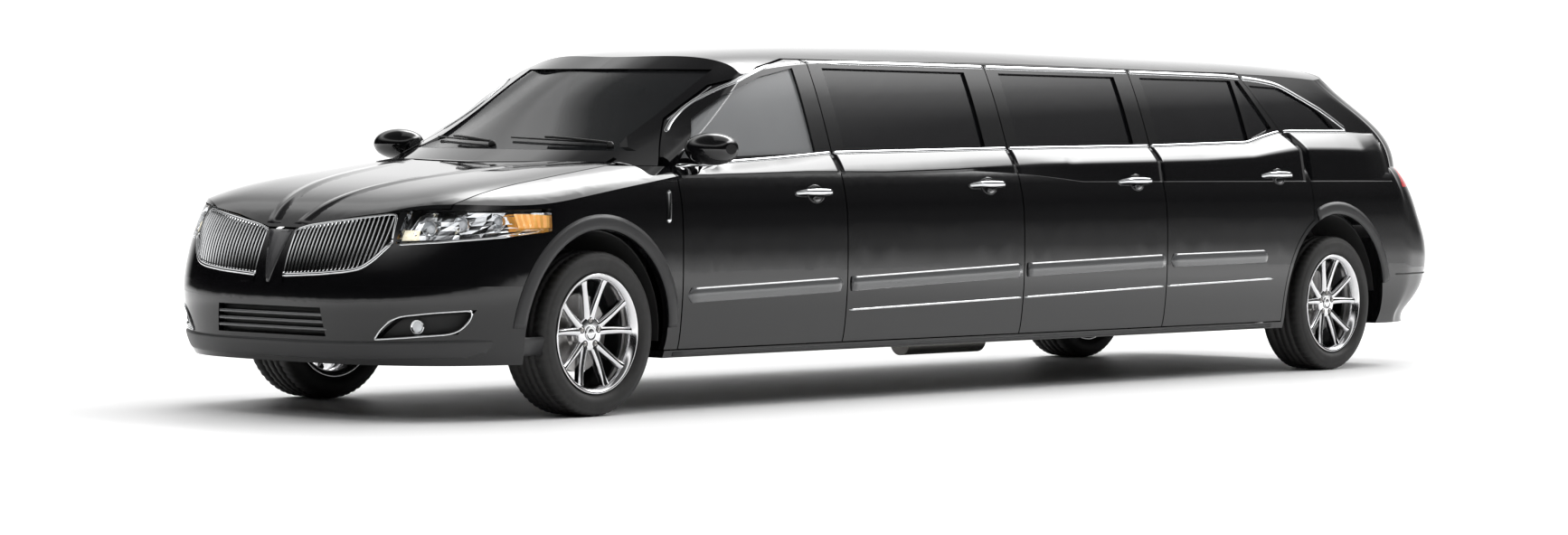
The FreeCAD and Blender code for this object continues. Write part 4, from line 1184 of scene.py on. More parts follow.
@dataclass
class GrilleTrim:
    """Split grille: upright bars, dark mesh, bright frames and the beak between."""

    bars: int = 23
    top: tuple[Point2, ...] = ((0.091, 0.822), (0.16, 0.842), (0.35, 0.869), (0.50, 0.889), (0.592, 0.902))
    foot: tuple[Point2, ...] = ((0.091, 0.624), (0.30, 0.636), (0.44, 0.650), (0.509, 0.664), (0.56, 0.705),
                                (0.612, 0.776))
    lean: float = 0.012
    foot_start: float = 0.100
    foot_run: float = 0.478
    head_start: float = 0.102
    head_run: float = 0.488
    bar_half: float = 0.0036
    bar_crown: float = 0.003
    bar_gap: float = 0.002
    screen_span: Point2 = (0.088, 0.618)
    screen_depth: float = 0.040
    beak_foot: float = 0.592
    beak_rise: float = 0.229
    beak_point: float = 0.006
    beak_spread: float = 0.066
    ridge: float = 0.003
    ridge_crown: float = 0.0045
    crease_start: Point2 = (4.085, 0.085)
    crease_run: Point2 = (1.06, 0.30)
    crease_width: float = 0.110
    crease_flare: float = 0.06
    crease_height: float = 0.0075
    bar_section: tuple[Point2, ...] = ((-1.1, -0.016), (-1.0, -0.004), (-0.5, 0.0015), (0.5, 0.0015),
                                       (1.0, -0.004), (1.1, -0.016))

    def build(self) -> None:
        """Makes both wings and the beak."""
        upper = Strip(0.010, 0.004, round_ends=False, smoothing=2)
        lower = Strip(0.017, 0.008, round_ends=False, smoothing=2)
        head = [*self.top, self.foot[-1]]
        frames = [strip.mesh(NOSE.hits(line, 0.02)) for strip, line in (
            (upper, head), (lower, self.foot[::-1]), (upper, (self.foot[0], self.top[0])))]
        bars = both(*(self._bar((index + 0.5) / self.bars) for index in range(self.bars)))
        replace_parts(add_piece("grille_wing_bars", bars, BRIGHT), "grille")
        screen = NOSE.sheet(self.screen_span, self.foot, self.top, self.screen_depth, 21, 8, 0.006)
        add_piece("grille_wing_screens", both(screen), MESH_DARK)
        add_piece("grille_wing_frames", both(*frames), BRIGHT)
        # The beak's grey finish is painted sheen on what is black paint.
        add_piece("nose_beak", self._beak(), BEAK_PAINTED_SHEEN)
        add_piece("bonnet_creases", both(self._crease()), PAINT, "bonnet")

    def _bar(self, share: float) -> Mesh:
        """One upright bar.

        Args:
            share: Its place as a share of the wing's width.

        Returns:
            The bar's mesh.
        """
        low_y = self.foot_start + self.foot_run * share
        high_y = self.head_start + self.head_run * share
        z0 = height_on(self.foot, low_y) + self.bar_gap
        z1 = height_on(self.top, high_y) - self.bar_gap
        rings = []
        for rise in spaced(0, 1, 14):
            bow = math.sin(math.pi * rise)
            y = low_y + (high_y - low_y) * rise + self.lean * share * bow
            z = z0 + (z1 - z0) * rise
            point, normal = NOSE.at(y, z), NOSE.normal(y, z)
            across = (LEFTWARD - normal * normal.y).normalized()
            rings.append([point + across * (self.bar_half * a) + normal * (b + self.bar_crown * bow)
                          for a, b in self.bar_section])
        return skin_rings(rings)

    def _beak(self) -> Mesh:
        """Tapering wedge between the wings, with a ridge down its middle.

        Returns:
            The wedge's mesh.
        """
        rings = []
        for share in spaced(0, 1, 16):
            z = self.beak_foot + self.beak_rise * share
            half = self.beak_point + self.beak_spread * share ** 0.9
            ridge = self.ridge + self.ridge_crown * math.sin(math.pi * min(share * 0.9 + 0.1, 1.0)) ** 0.5
            section = ((-1.0, -0.004), (-0.97, 0.004), (-0.55, 0.6 * ridge), (-0.12, ridge), (0.12, ridge),
                       (0.55, 0.6 * ridge), (0.97, 0.004), (1.0, -0.004))
            rings.append([NOSE.at(half * a, z) + NOSE.normal(half * a, z) * rise for a, rise in section])
        return skin_rings(rings)

    def _crease(self) -> Mesh:
        """Crease that runs back from the beak along the left of the bonnet.

        Returns:
            The crease's mesh.
        """
        rings = []
        for share in spaced(0, 1, 40):
            x = self.crease_start[0] - self.crease_run[0] * share
            y = self.crease_start[1] + self.crease_run[1] * share ** 0.85
            width = self.crease_width + self.crease_flare * share
            arch = math.sin(math.pi * min(0.12 + share * 0.88, 1.0)) ** 0.6
            tall = self.crease_height * arch * (1 - 0.35 * share)
            row = [(across, SKIN.hit(Vector((x, y + across * width, 3.0)), -UP, ("bonnet",)))
                   for across in spaced(-0.5, 0.5, 8)]
            if all(hit for _, hit in row):
                rises = (tall * math.exp(-(across * 5.2) ** 2) if abs(across) < 0.5 else -0.0006
                         for across, _ in row)
                ring = [hit[0] + hit[1] * rise for (_, hit), rise in zip(row, rises)]
                rings.append(ring + [p - UP * 0.004 for p in (ring[-1], ring[0])])
        return skin_rings(rings)


@dataclass
class BumperTrim:
    """Centre intake bars, fog lamp recesses and the lower lip of the front bumper."""

    bar_heights: tuple[float, ...] = (0.3965, 0.4275, 0.4585)
    intake_half: float = 0.345
    intake_depth: float = 0.034
    recess_depth: float = 0.036
    lamp_depth: float = 0.030
    intake_heights: Point2 = (0.358, 0.497)
    lip_half: float = 0.94
    lip_height: float = 0.305
    fog_place: Point2 = (0.715, 0.415)
    bar_section: tuple[Point2, ...] = ((-0.0075, 0.026), (-0.0075, 0.004), (-0.005, 0.001), (0.004, 0.002),
                                       (0.0065, 0.006), (0.0065, 0.026))
    fog: tuple[Point2, ...] = ((0.572, 0.358), (0.600, 0.400), (0.640, 0.440), (0.680, 0.461), (0.780, 0.477),
                               (0.878, 0.488), (0.868, 0.440), (0.846, 0.400), (0.820, 0.384), (0.700, 0.370),
                               (0.572, 0.358))
    recess_span: Point2 = (0.56, 0.892)
    recess_foot: tuple[Point2, ...] = ((0.565, 0.352), (0.70, 0.364), (0.84, 0.378), (0.89, 0.44))
    recess_head: tuple[Point2, ...] = ((0.565, 0.37), (0.62, 0.43), (0.675, 0.463), (0.89, 0.492))
    bowl: tuple[Point2, ...] = ((0.004, 0.033), (0.014, 0.033), (0.014, 0.029), (0.002, 0.014))
    lens: tuple[Point2, ...] = ((-0.004, 0.028), (0.008, 0.028), (0.012, 0.020), (0.0135, 0.008))

    def build(self) -> None:
        """Makes the bumper's trim."""
        places = list(spaced(-self.intake_half, self.intake_half, 24))
        bars = [skin_rings([[NOSE.at(y, z + dz, inset) for dz, inset in self.bar_section] for y in places])
                for z in self.bar_heights]
        lamp, forward = NOSE.at(*self.fog_place, self.lamp_depth), Vector((1, 0.25, 0)).normalized()
        edge = [(self.lip_half * share, self.lip_height + 0.02 * abs(share) ** 3)
                for share in spaced(-1, 1, 60)]
        lip = [(NOSE.at(y, z), NOSE.normal(y, z)) for y, z in edge]
        add_piece("intake_bars", joined(bars), GREY_PAINTED_SHEEN)
        foot, head = (((0.0, height),) for height in self.intake_heights)
        span = (-self.intake_half - 0.003, self.intake_half + 0.003)
        add_piece("intake_screen", NOSE.sheet(span, foot, head, self.intake_depth), MESH_DARK)
        recess = NOSE.sheet(self.recess_span, self.recess_foot, self.recess_head, self.recess_depth)
        add_piece("fog_recess_backs", both(recess), LINER)
        bezel = Strip(0.009, 0.006, round_ends=False, smoothing=1).mesh(NOSE.hits(self.fog, 0.015))
        add_piece("fog_bezels", both(bezel), BRIGHT)
        add_piece("fog_lamp_bowls", both(dish(lamp, forward, self.bowl)), BRIGHT)
        add_piece("fog_lamp_lenses", both(dish(lamp, forward, self.lens)), PALE_BULB)
        add_piece("front_lip", Strip(0.085, 0.010, round_ends=False, smoothing=2).mesh(lip), SATIN)


@dataclass
class HeadlampInsides:
    """Reflectors, projectors and amber marker inside the clear lamps."""

    bowls: tuple[Point3, ...] = ((0.705, 0.832, 0.034), (0.790, 0.853, 0.035), (0.860, 0.868, 0.030))
    bowl: tuple[Point2, ...] = ((-0.012, 0.35), (0.0, 0.72), (0.018, 0.98), (0.021, 1.0), (0.018, 1.06),
                                (-0.014, 0.9))
    projector: tuple[Point2, ...] = ((-0.006, 0.52), (0.006, 0.52), (0.014, 0.36), (0.017, 0.12))
    foot: tuple[Point2, ...] = ((0.605, 0.780), (0.80, 0.79), (0.93, 0.82), (0.955, 0.838))
    head: tuple[Point2, ...] = ((0.605, 0.800), (0.660, 0.900), (0.955, 0.908))
    bowl_depth: float = 0.048
    warm_span: Point2 = (0.618, 0.672)
    warm_depth: float = 0.044
    warm_top: float = 0.825
    facet_span: Point2 = (0.612, 0.925)
    facet_depth: float = 0.052
    wave: float = 0.005
    amber_start: float = 72
    amber_sweep: float = 12
    amber_heights: Point2 = (0.840, 0.903)
    amber_level: float = 0.87
    amber_depths: Point2 = (0.016, 0.021)
    lip: tuple[Point2, ...] = ((0.640, 0.768), (0.78, 0.781), (0.88, 0.796), (0.93, 0.808))

    def build(self) -> None:
        """Makes what shows through both lamps."""
        warm = self._facets(*self.warm_span, self.warm_depth, 6, self.warm_top)
        facets = self._facets(*self.facet_span, self.facet_depth, 16)
        lip = Strip(0.010, 0.005, smoothing=2).mesh(NOSE.hits(self.lip, 0.012))
        add_piece("headlamp_bowls", both(*self._turned(self.bowl)), BRIGHT)
        add_piece("headlamp_projectors", both(*self._turned(self.projector)), PALE_BULB)
        add_piece("headlamp_warm_corners", both(warm), LAMP_GLOW)
        add_piece("headlamp_facets", both(facets), BRIGHT, smooth=False)
        add_piece("headlamp_amber_ends", both(self._amber()), AMBER, smooth=False)
        add_piece("headlamp_lips", both(lip), BRIGHT)

    def _turned(self, profile: Sequence[Point2]) -> Iterator[Mesh]:
        """A turned shape in the place of each bowl.

        Args:
            profile: Pairs of distance forward and share of the bowl's radius.

        Yields:
            The meshes, from the inner bowl out.
        """
        for y, z, radius in self.bowls:
            forward = (AHEAD * 0.8 + NOSE.normal(y, z) * 0.4).normalized()
            scaled = [(reach, share * radius) for reach, share in profile]
            yield dish(NOSE.at(y, z, self.bowl_depth), forward, scaled)

    def _facets(self, y0: float, y1: float, inset: float, count: int, top: float = 1.0) -> Mesh:
        """Wavy bright sheet behind the bowls.

        Args:
            y0: Inner end.
            y1: Outer end.
            inset: Depth under the skin.
            count: Steps along it.
            top: Height that it stops at.

        Returns:
            The sheet's mesh.
        """
        rings = []
        for column, y in enumerate(spaced(y0, y1, count)):
            z0 = height_on(self.foot, y)
            z1 = max(min(height_on(self.head, y), top), z0 + 0.004)
            depth = inset + self.wave * math.sin(1.9 * column)
            heights = list(spaced(z0, z1, 6))
            front = [NOSE.at(y, z, depth + self.wave * math.sin(1.3 * k + 0.8 * column))
                     for k, z in enumerate(heights)]
            rings.append(front + [NOSE.at(y, z, inset + 0.014) for z in reversed(heights)])
        return skin_rings(rings)

    def _amber(self) -> Mesh:
        """Faceted amber block at the outer end.

        Returns:
            The block's mesh.
        """
        foot, head = self.amber_heights
        width, reach = NOSE.shares(self.amber_level)
        start = CAR.along(Zone.NOSE, NOSE.start_share)
        rings = []
        for column, share in enumerate(spaced(0, 1, 12)):
            angle = math.radians(self.amber_start + self.amber_sweep * share)
            inset = self.amber_depths[column % 2]
            x = start + (CAR.front_overhang * 0.91 * reach - inset) * math.cos(angle) ** (2 / 3)
            y = (width * CAR.half_width - inset) * math.sin(angle) ** (2 / 3)
            heights = spaced(foot + 0.004 * share, head - 0.010 * share ** 3, 4)
            ring = [Vector((x + 0.03 * (1 - share) * (k / 4 - 0.5), y, z)) for k, z in enumerate(heights)]
            rings.append(ring + [p - Vector((0.020, 0.022, 0)) for p in reversed(ring)])
        return skin_rings(rings)


@dataclass
class BodyTrim:
    """Quarter trim, fender vents, mirror faces, sills, wipers and the inside mirror."""

    vent: tuple[Point2, ...] = ((2.611, 1.008), (2.634, 0.858))
    fin_places: tuple[float, ...] = (0.15, 0.32, 0.5, 0.68, 0.85)
    fin_steps: tuple[float, ...] = (-0.008, -0.004, 0.0, 0.004, 0.008)
    quarter_belt: Point2 = (-2.55, -3.27)
    quarter_head: Point2 = (-2.25, -3.267)
    quarter_roll: Point2 = (-2.703, -3.53)
    sill_span: Point2 = (2.56, -2.36)
    sill_heights: Point3 = (0.252, 0.262, 0.270)
    wipers: tuple[tuple[str, float, float], ...] = (("left", 0.60, 0.02), ("right", -0.05, -0.62))
    wiper_heights: Point2 = (1.205, 1.225)
    mirror_place: Point3 = (-0.0531, 1.036, 0.698)
    mirror_half: Point2 = (0.098, 0.058)

    def build(self) -> None:
        """Makes the trim of both sides."""
        skin = ("body_shell", "tailgate")
        belt = Strip(0.016, 0.005).mesh(SKIN.owned(clipped(BELT, *self.quarter_belt), skin))
        head = Strip(0.026, 0.006).mesh(SKIN.owned(clipped(WINDOW_HEAD, *self.quarter_head), skin))
        fender = ("front_fenders",)
        (x0, z0), (x1, z1) = self.vent
        vent = [SKIN.side(x, z, fender) for x, z in resample(self.vent, 0.008)]
        fins = []
        for share in self.fin_places:
            row = [SKIN.side(x0 + (x1 - x0) * share + step, z0 + (z1 - z0) * share, fender)
                   for step in self.fin_steps]
            fins.append(Strip(0.004, 0.013).mesh(row))
        roll = Shoulder(*self.quarter_roll, ("body_shell",), front_lean=0.090, rounded=0.035)
        pieces = (("quarter_{}_belt_strip", belt, BRIGHT), ("quarter_{}_window_strip", head, BRIGHT),
                  ("fender_{}_vent", Strip(0.024, 0.010).mesh(vent), BRIGHT),
                  ("fender_{}_vent_fins", joined(fins), SEAL), ("quarter_{}_shoulder", roll.mesh(), PAINT))
        sill = self._sill()
        for side in Side:
            for name, mesh, finish in pieces:
                add_piece(name.format(side.word), on_side(mesh, side), finish)
            self._mirror_face(side)
            add_piece(f"sill_{side.word}_cover", on_side(sill, side), SATIN)
        self._wipers()
        self._inside_mirror()

    def _mirror_face(self, side: Side) -> None:
        """Makes the mirror glass and its bezel on one front door.

        Args:
            side: Side of the door.
        """
        back, out, up = self.mirror_place
        wide, tall = self.mirror_half
        middle = Vector((CAR.along(Zone.CAB, 0.402) + back, out * CAR.half_width, up * CAR.height))
        body = f"door_1_{side.word}"
        for name, finish, scale, depth in (("bezel", SEAL, 1.0, 0.0015), ("glass", MIRROR, 0.93, 0.0025)):
            across, rise = LEFTWARD * (wide * scale), UP * (tall * scale)
            profile = ((0.004, 1.0), (-depth, 1.0), (-depth - 0.0006, 0.96), (-depth - 0.0008, 0.5))
            rings = [loop(middle + AHEAD * reach, across * share, rise * share, 40, (0.75, 0.8))
                     for reach, share in profile]
            add_piece(f"{body}_mirror_{name}", on_side(skin_rings(rings), side), finish, body)

    def _sill(self) -> Mesh:
        """Dark tread cover along the left sill.

        Returns:
            The cover's mesh.
        """
        rings = []
        for x in spaced(*self.sill_span, 59):
            hits = [SKIN.side(x, z, ("body_shell",)) for z in self.sill_heights]
            if all(hit is not None and hit[0].y >= 0.85 for hit in hits):
                rings.append([point + normal * 0.0025 for point, normal in hits]
                             + [point - normal * 0.004 for point, normal in reversed(hits)])
        return skin_rings(rings)

    def _wipers(self) -> None:
        """Makes two parked wipers at the foot of the screen."""
        for name, pivot_y, tip_y in self.wipers:
            hits = [SKIN.hit(Vector((6.0, y, z)), -AHEAD, ("windscreen",))
                    for y, z in zip(spaced(pivot_y, tip_y, 16), spaced(*self.wiper_heights, 16))]
            path = [hit[0] + hit[1] * 0.012 for hit in hits if hit]
            arm = [p + Vector((0.012, 0, 0.012 * math.sin(math.pi * i / len(path))))
                   for i, p in enumerate(path[:len(path) * 2 // 3])]
            pivot = dish(path[0] + Vector((0.010, 0, -0.022)), Vector((0.35, 0, 1)).normalized(),
                         ((0.0, 0.018), (0.018, 0.017), (0.026, 0.011), (0.028, 0.003)), 16)
            parts = [tube(path, [(0.007, 0.004)], 8), tube(arm, [(0.009, 0.006)], 8), pivot]
            add_piece(f"wiper_{name}", joined(parts), SEAL)

    @staticmethod
    def _inside_mirror() -> None:
        """Makes the driver's rear-view mirror behind the screen."""
        middle = Vector((CAR.along(Zone.CAB, 0.70), 0.0, 1.47))
        rings = [loop(middle + LEFTWARD * (0.12 * share), AHEAD * 0.012,
                      UP * (0.032 * max(1 - share ** 4, 0.25)), 14) for share in spaced(-1, 1, 12)]
        stalk = [middle + Vector((reach, 0, rise))
                 for reach, rise in ((0.01, 0.01), (0.05, 0.05), (0.07, 0.075))]
        add_piece("inside_mirror", joined([skin_rings(rings), tube(stalk, [(0.008, 0.008)], 10)]), CABIN)


@dataclass
class Pad:
    """A stuffed pad: crowned faces, sides that pull in, sewn channels."""

    length: float
    width: float
    thick: float
    channels: tuple[float, ...] = ()
    columns: int = 64
    rows: int = 18
    crown: float = 0.18
    groove_width: float = 0.0055
    groove_depth: float = 0.014
    pull: float = 0.025
    piping_radius: float = 0.0035

    def mesh(self, middle: Vector, lean: float) -> Mesh:
        """Builds the pad.

        Args:
            middle: Middle of the pad.
            lean: Turn about Y in degrees; 0 lies flat, 90 stands up.

        Returns:
            The pad's mesh.
        """
        turn = Matrix.Rotation(math.radians(-lean), 3, "Y")
        points: list[Vector] = []
        faces: list[tuple[int, ...]] = []
        for face in (1, -1):
            start = len(points)
            for u in map(math.sin, spaced(-math.pi / 2, math.pi / 2, self.rows)):
                for v in map(math.sin, spaced(-math.pi / 2, math.pi / 2, self.columns)):
                    edge = max((1 - abs(u) ** 6) * (1 - abs(v) ** 8), 0.0) ** 0.25
                    crown = 1 + self.crown * (1 - u * u) * (1 - v * v)
                    groove = sum(math.exp(-(((v - line) * self.width / 2) / self.groove_width) ** 2)
                                 for line in self.channels)
                    height = face * self.thick / 2 * edge * crown / (1 + self.crown)
                    if face > 0:
                        height -= self.groove_depth * groove * edge
                    x = self.length / 2 * u * (1 - self.pull * (1 - v * v) - 0.02 * v ** 6)
                    y = self.width / 2 * v * (1 - self.pull * (1 - u * u) - 0.02 * u ** 6)
                    points.append(middle + turn @ Vector((x, y, height)))
            for i in range(self.rows):
                for j in range(self.columns):
                    a = start + i * (self.columns + 1) + j
                    quad = (a, a + 1, a + self.columns + 2, a + self.columns + 1)
                    faces.append(tuple(reversed(quad)) if face > 0 else quad)
        return points, faces

    def piping(self, middle: Vector, lean: float) -> Mesh:
        """Sewn piping round the pad's edge.

        Args:
            middle: Middle of the pad.
            lean: Turn about Y in degrees.

        Returns:
            The piping's mesh.
        """
        turn = Matrix.Rotation(math.radians(-lean), 3, "Y")
        along, across = AHEAD * (self.length / 2 * 0.985), LEFTWARD * (self.width / 2 * 0.985)
        ring = loop(UP * (self.thick * 0.22), along, across, 60, (0.35, 0.35))
        path = [middle + turn @ point for point in ring + ring[:1]]
        return tube(path, [(self.piping_radius, self.piping_radius)], 6, turn @ Vector((0.13, 0.21, 0.97)))


@dataclass
class Cabin:
    """Seats, head rests, carpet, roof lining, door cards and the dashboard's faces."""

    seat_y: float = 0.3957
    bench_y: float = 0.42
    floor: float = 0.3135
    rows: tuple[float, ...] = (0.23, 0.47, 0.715)
    seat_pads: tuple[Pad, ...] = (Pad(0.47, 0.50, 0.15, (-0.52, 0.52)), Pad(0.45, 0.49, 0.115, (-0.55, 0.55)),
                                  Pad(0.13, 0.25, 0.09))
    bench_pads: tuple[Pad, ...] = (Pad(0.47, 0.415, 0.15, (-0.45, 0.45), 48),
                                   Pad(0.45, 0.41, 0.115, (-0.45, 0.45), 48), Pad(0.13, 0.24, 0.09, (), 40))
    pad_places: tuple[tuple[str, float, float, float, float], ...] = (
        ("base", 0.245, 0.165, 2, 0.8), ("back", 0.535, 0.445, 79, 0.8), ("headrest", 0.595, 0.755, 80, 0.9))
    seat_post: float = 0.06
    seat_frame: float = 0.44
    bench_posts: tuple[float, ...] = (-0.47, -0.37, -0.05, 0.05, 0.37, 0.47)
    bench_frame: float = 1.16
    post_ends: tuple[Point2, ...] = ((0.585, 0.63), (0.595, 0.73))
    plinth_rings: tuple[Point2, ...] = ((0.002, 0.94), (0.03, 1.0), (0.07, 0.92), (0.112, 1.06))
    carpet_span: Point2 = (2.05, -2.35)
    carpet_half: float = 0.70
    lining_span: Point2 = (1.35, -3.0)
    lining_half: float = 0.52
    card_heights: Point2 = (0.34, 1.04)
    arm_rest_height: float = 0.735
    pull_height: float = 0.865
    dash_rings: tuple[Point2, ...] = (
        (0.002, 1.0), (-0.006, 1.0), (-0.008, 0.95), (-0.0065, 0.90), (-0.0065, 0.5))
    dash_faces: tuple[tuple[str, float, float, float, float, Finish], ...] = (
        ("screen", 0.0, 0.93, 0.22, 0.12, MIRROR_DARK), ("left_vent", 0.60, 0.95, 0.11, 0.06, SEAL),
        ("right_vent", -0.60, 0.95, 0.11, 0.06, SEAL), ("centre_vent", 0.0, 0.835, 0.24, 0.045, SEAL))

    def build(self) -> None:
        """Makes everything inside the cabin."""
        front = CAR.along(Zone.CAB, 0.80)
        seats = []
        for side in Side:
            y = self.seat_y * side.value
            name = f"front_{side.word}_seat"
            seats.append(self._place(name, self.seat_pads, front, y))
            self._underneath(name, front, y, (y - self.seat_post, y + self.seat_post), self.seat_frame)
        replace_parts(seats[0], "front_seats")
        benches = []
        for row, share in enumerate(self.rows, 2):
            front = CAR.along(Zone.MID, share)
            for word, y in (("left", self.bench_y), ("middle", 0.0), ("right", -self.bench_y)):
                benches.append(self._place(f"bench_{row}_{word}", self.bench_pads, front, y))
            self._underneath(f"bench_{row}", front, 0.0, self.bench_posts, self.bench_frame)
        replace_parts(benches[0], "passenger_benches")
        self._carpet()
        self._lining()
        for index in range(4):
            self._door_card(index)
        self._dash_faces()

    def _place(self, name: str, pads: tuple[Pad, ...], front: float, y: float) -> bpy.types.Object:
        """Makes the stuffed base, back and head rest of one place to sit, and their piping.

        Args:
            name: Name that the pads' names begin with.
            pads: The three pads.
            front: Front edge of the place.
            y: Its middle across the car.

        Returns:
            The base.
        """
        pieces = []
        for pad, (word, reach, height, lean, fill) in zip(pads, self.pad_places):
            middle = Vector((front - reach, y, self.floor + height))
            piece = add_piece(f"{name}_{word}", pad.mesh(middle, lean), LEATHER)
            piece.modifiers.new("closed_edge", "WELD").merge_threshold = 0.0004
            add_piece(f"{name}_{word}_piping", pad.piping(middle, lean), SEAL)
            pieces.append(piece)
        return pieces[0]

    def _underneath(self, name: str, front: float, y: float, posts: Sequence[float], width: float) -> None:
        """Makes the head rests' posts and the tapered base of a seat or bench.

        Args:
            name: Name that the pieces' names begin with.
            front: Front edge of the seat.
            y: Its middle across the car.
            posts: Places of the posts across the car.
            width: Width of the base.
        """
        tubes = [tube([Vector((front - reach, post, self.floor + rise)) for reach, rise in self.post_ends],
                      [(0.006, 0.006)], 10, LEFTWARD) for post in posts]
        add_piece(name + "_posts", joined(tubes), BRIGHT)
        rings = [loop(Vector((front - 0.25, y, self.floor + z)), AHEAD * (0.20 * share),
                      LEFTWARD * (width / 2 * share), 28, (0.3, 0.3)) for z, share in self.plinth_rings]
        add_piece(name + "_frame", skin_rings(rings), CABIN, rounding=0.006)

    def _carpet(self) -> None:
        """Makes the deep carpet on the floor."""
        rings = []
        for step, x in enumerate(spaced(*self.carpet_span, 59)):
            line = [Vector((x, y, self.floor - 0.0005))
                    for y in spaced(self.carpet_half, -self.carpet_half, 4)]
            rings.append([p + UP * (0.0065 + 0.0015 * math.sin(step * 2.4)) for p in line] + line[::-1])
        add_piece("cabin_carpet", skin_rings(rings), CARPET)

    def _lining(self) -> None:
        """Makes the roof lining under the roof skin."""
        rings = []
        for x in spaced(*self.lining_span, 45):
            row = [SKIN.hit(Vector((x, y, 1.2)), UP, ("body_shell",))
                   for y in spaced(-self.lining_half, self.lining_half, 12)]
            if all(row):
                rings.append([hit[0] - UP * 0.012 for hit in row]
                             + [hit[0] - UP * 0.001 for hit in reversed(row)])
        add_piece("roof_lining", skin_rings(rings), CARPET)

    def _card(self, front: float, back: float, name: str) -> list[list[Vector]]:
        """Rings of a door's padded card, with a pleated panel above the arm rest.

        Args:
            front: Front end.
            back: Rear end.
            name: Node of the door.

        Returns:
            The rings, from the front.
        """
        rings = []
        for step, x in enumerate(spaced(front, back, 30)):
            hits = [SKIN.hit(Vector((x, 0.30, z)), LEFTWARD, (name,))
                    for z in spaced(*self.card_heights, 12)]
            if any(hit is None or hit[0].y > 0.92 for hit in hits):
                continue
            pleat = 0.003 * abs(math.sin(step * math.pi / 2))
            inner = []
            for k, (point, _) in enumerate(hits):
                edge = 0.5 if k in (0, 12) or step in (0, 30) else 1.0
                inner.append(point - LEFTWARD * ((0.016 + pleat if 7 <= k <= 11 else 0.010) * edge))
            rings.append(inner + [point - LEFTWARD * 0.0006 for point, _ in reversed(hits)])
        return rings

    def _door_card(self, index: int) -> None:
        """Makes the padded card, arm rest and pull of a pair of doors.

        Args:
            index: Number of the doors from the front, from 0.
        """
        front = DOOR_CUTS[index] - (0.05 if index else 0.10)
        back = max(DOOR_CUTS[index + 1] + 0.05, -2.30)
        rings = self._card(front, back, f"door_{index + 1}_left")
        y = min(p.y for p in rings[len(rings) // 2]) - 0.018
        span = (front - back) * 0.5
        middle = (front + back) / 2
        rest = tube([Vector((middle + span * (0.5 - k / 12), y,
                             self.arm_rest_height + 0.012 * math.sin(math.pi * k / 12))) for k in range(13)],
                    [(0.024 * min(1, 0.5 + k * (12 - k) / 12), 0.022) for k in range(13)], 14)
        pull = tube([Vector((middle + 0.22 - 0.12 * share, y + 0.004 - 0.006 * math.sin(math.pi * share),
                             self.pull_height))
                     for share in spaced(0, 1, 10)], [(0.005, 0.008)], 10)
        for side in Side:
            body = f"door_{index + 1}_{side.word}"
            for name, mesh, finish in (("card", skin_rings(rings), LEATHER), ("arm_rest", rest, LEATHER),
                                       ("inside_pull", pull, BRIGHT)):
                add_piece(f"{body}_{name}", on_side(mesh, side), finish, body)

    def _dash_faces(self) -> None:
        """Makes the screen and the vents on the dashboard."""
        for name, y, z, wide, tall, finish in self.dash_faces:
            x = SKIN.hit(Vector((0.6, y, z)), AHEAD, ("dashboard",))[0].x
            rings = [loop(Vector((x + reach, y, z)), LEFTWARD * (wide / 2 * share), UP * (tall / 2 * share),
                          36, (0.25, 0.25)) for reach, share in self.dash_rings]
            add_piece("dash_" + name, skin_rings(rings), finish)


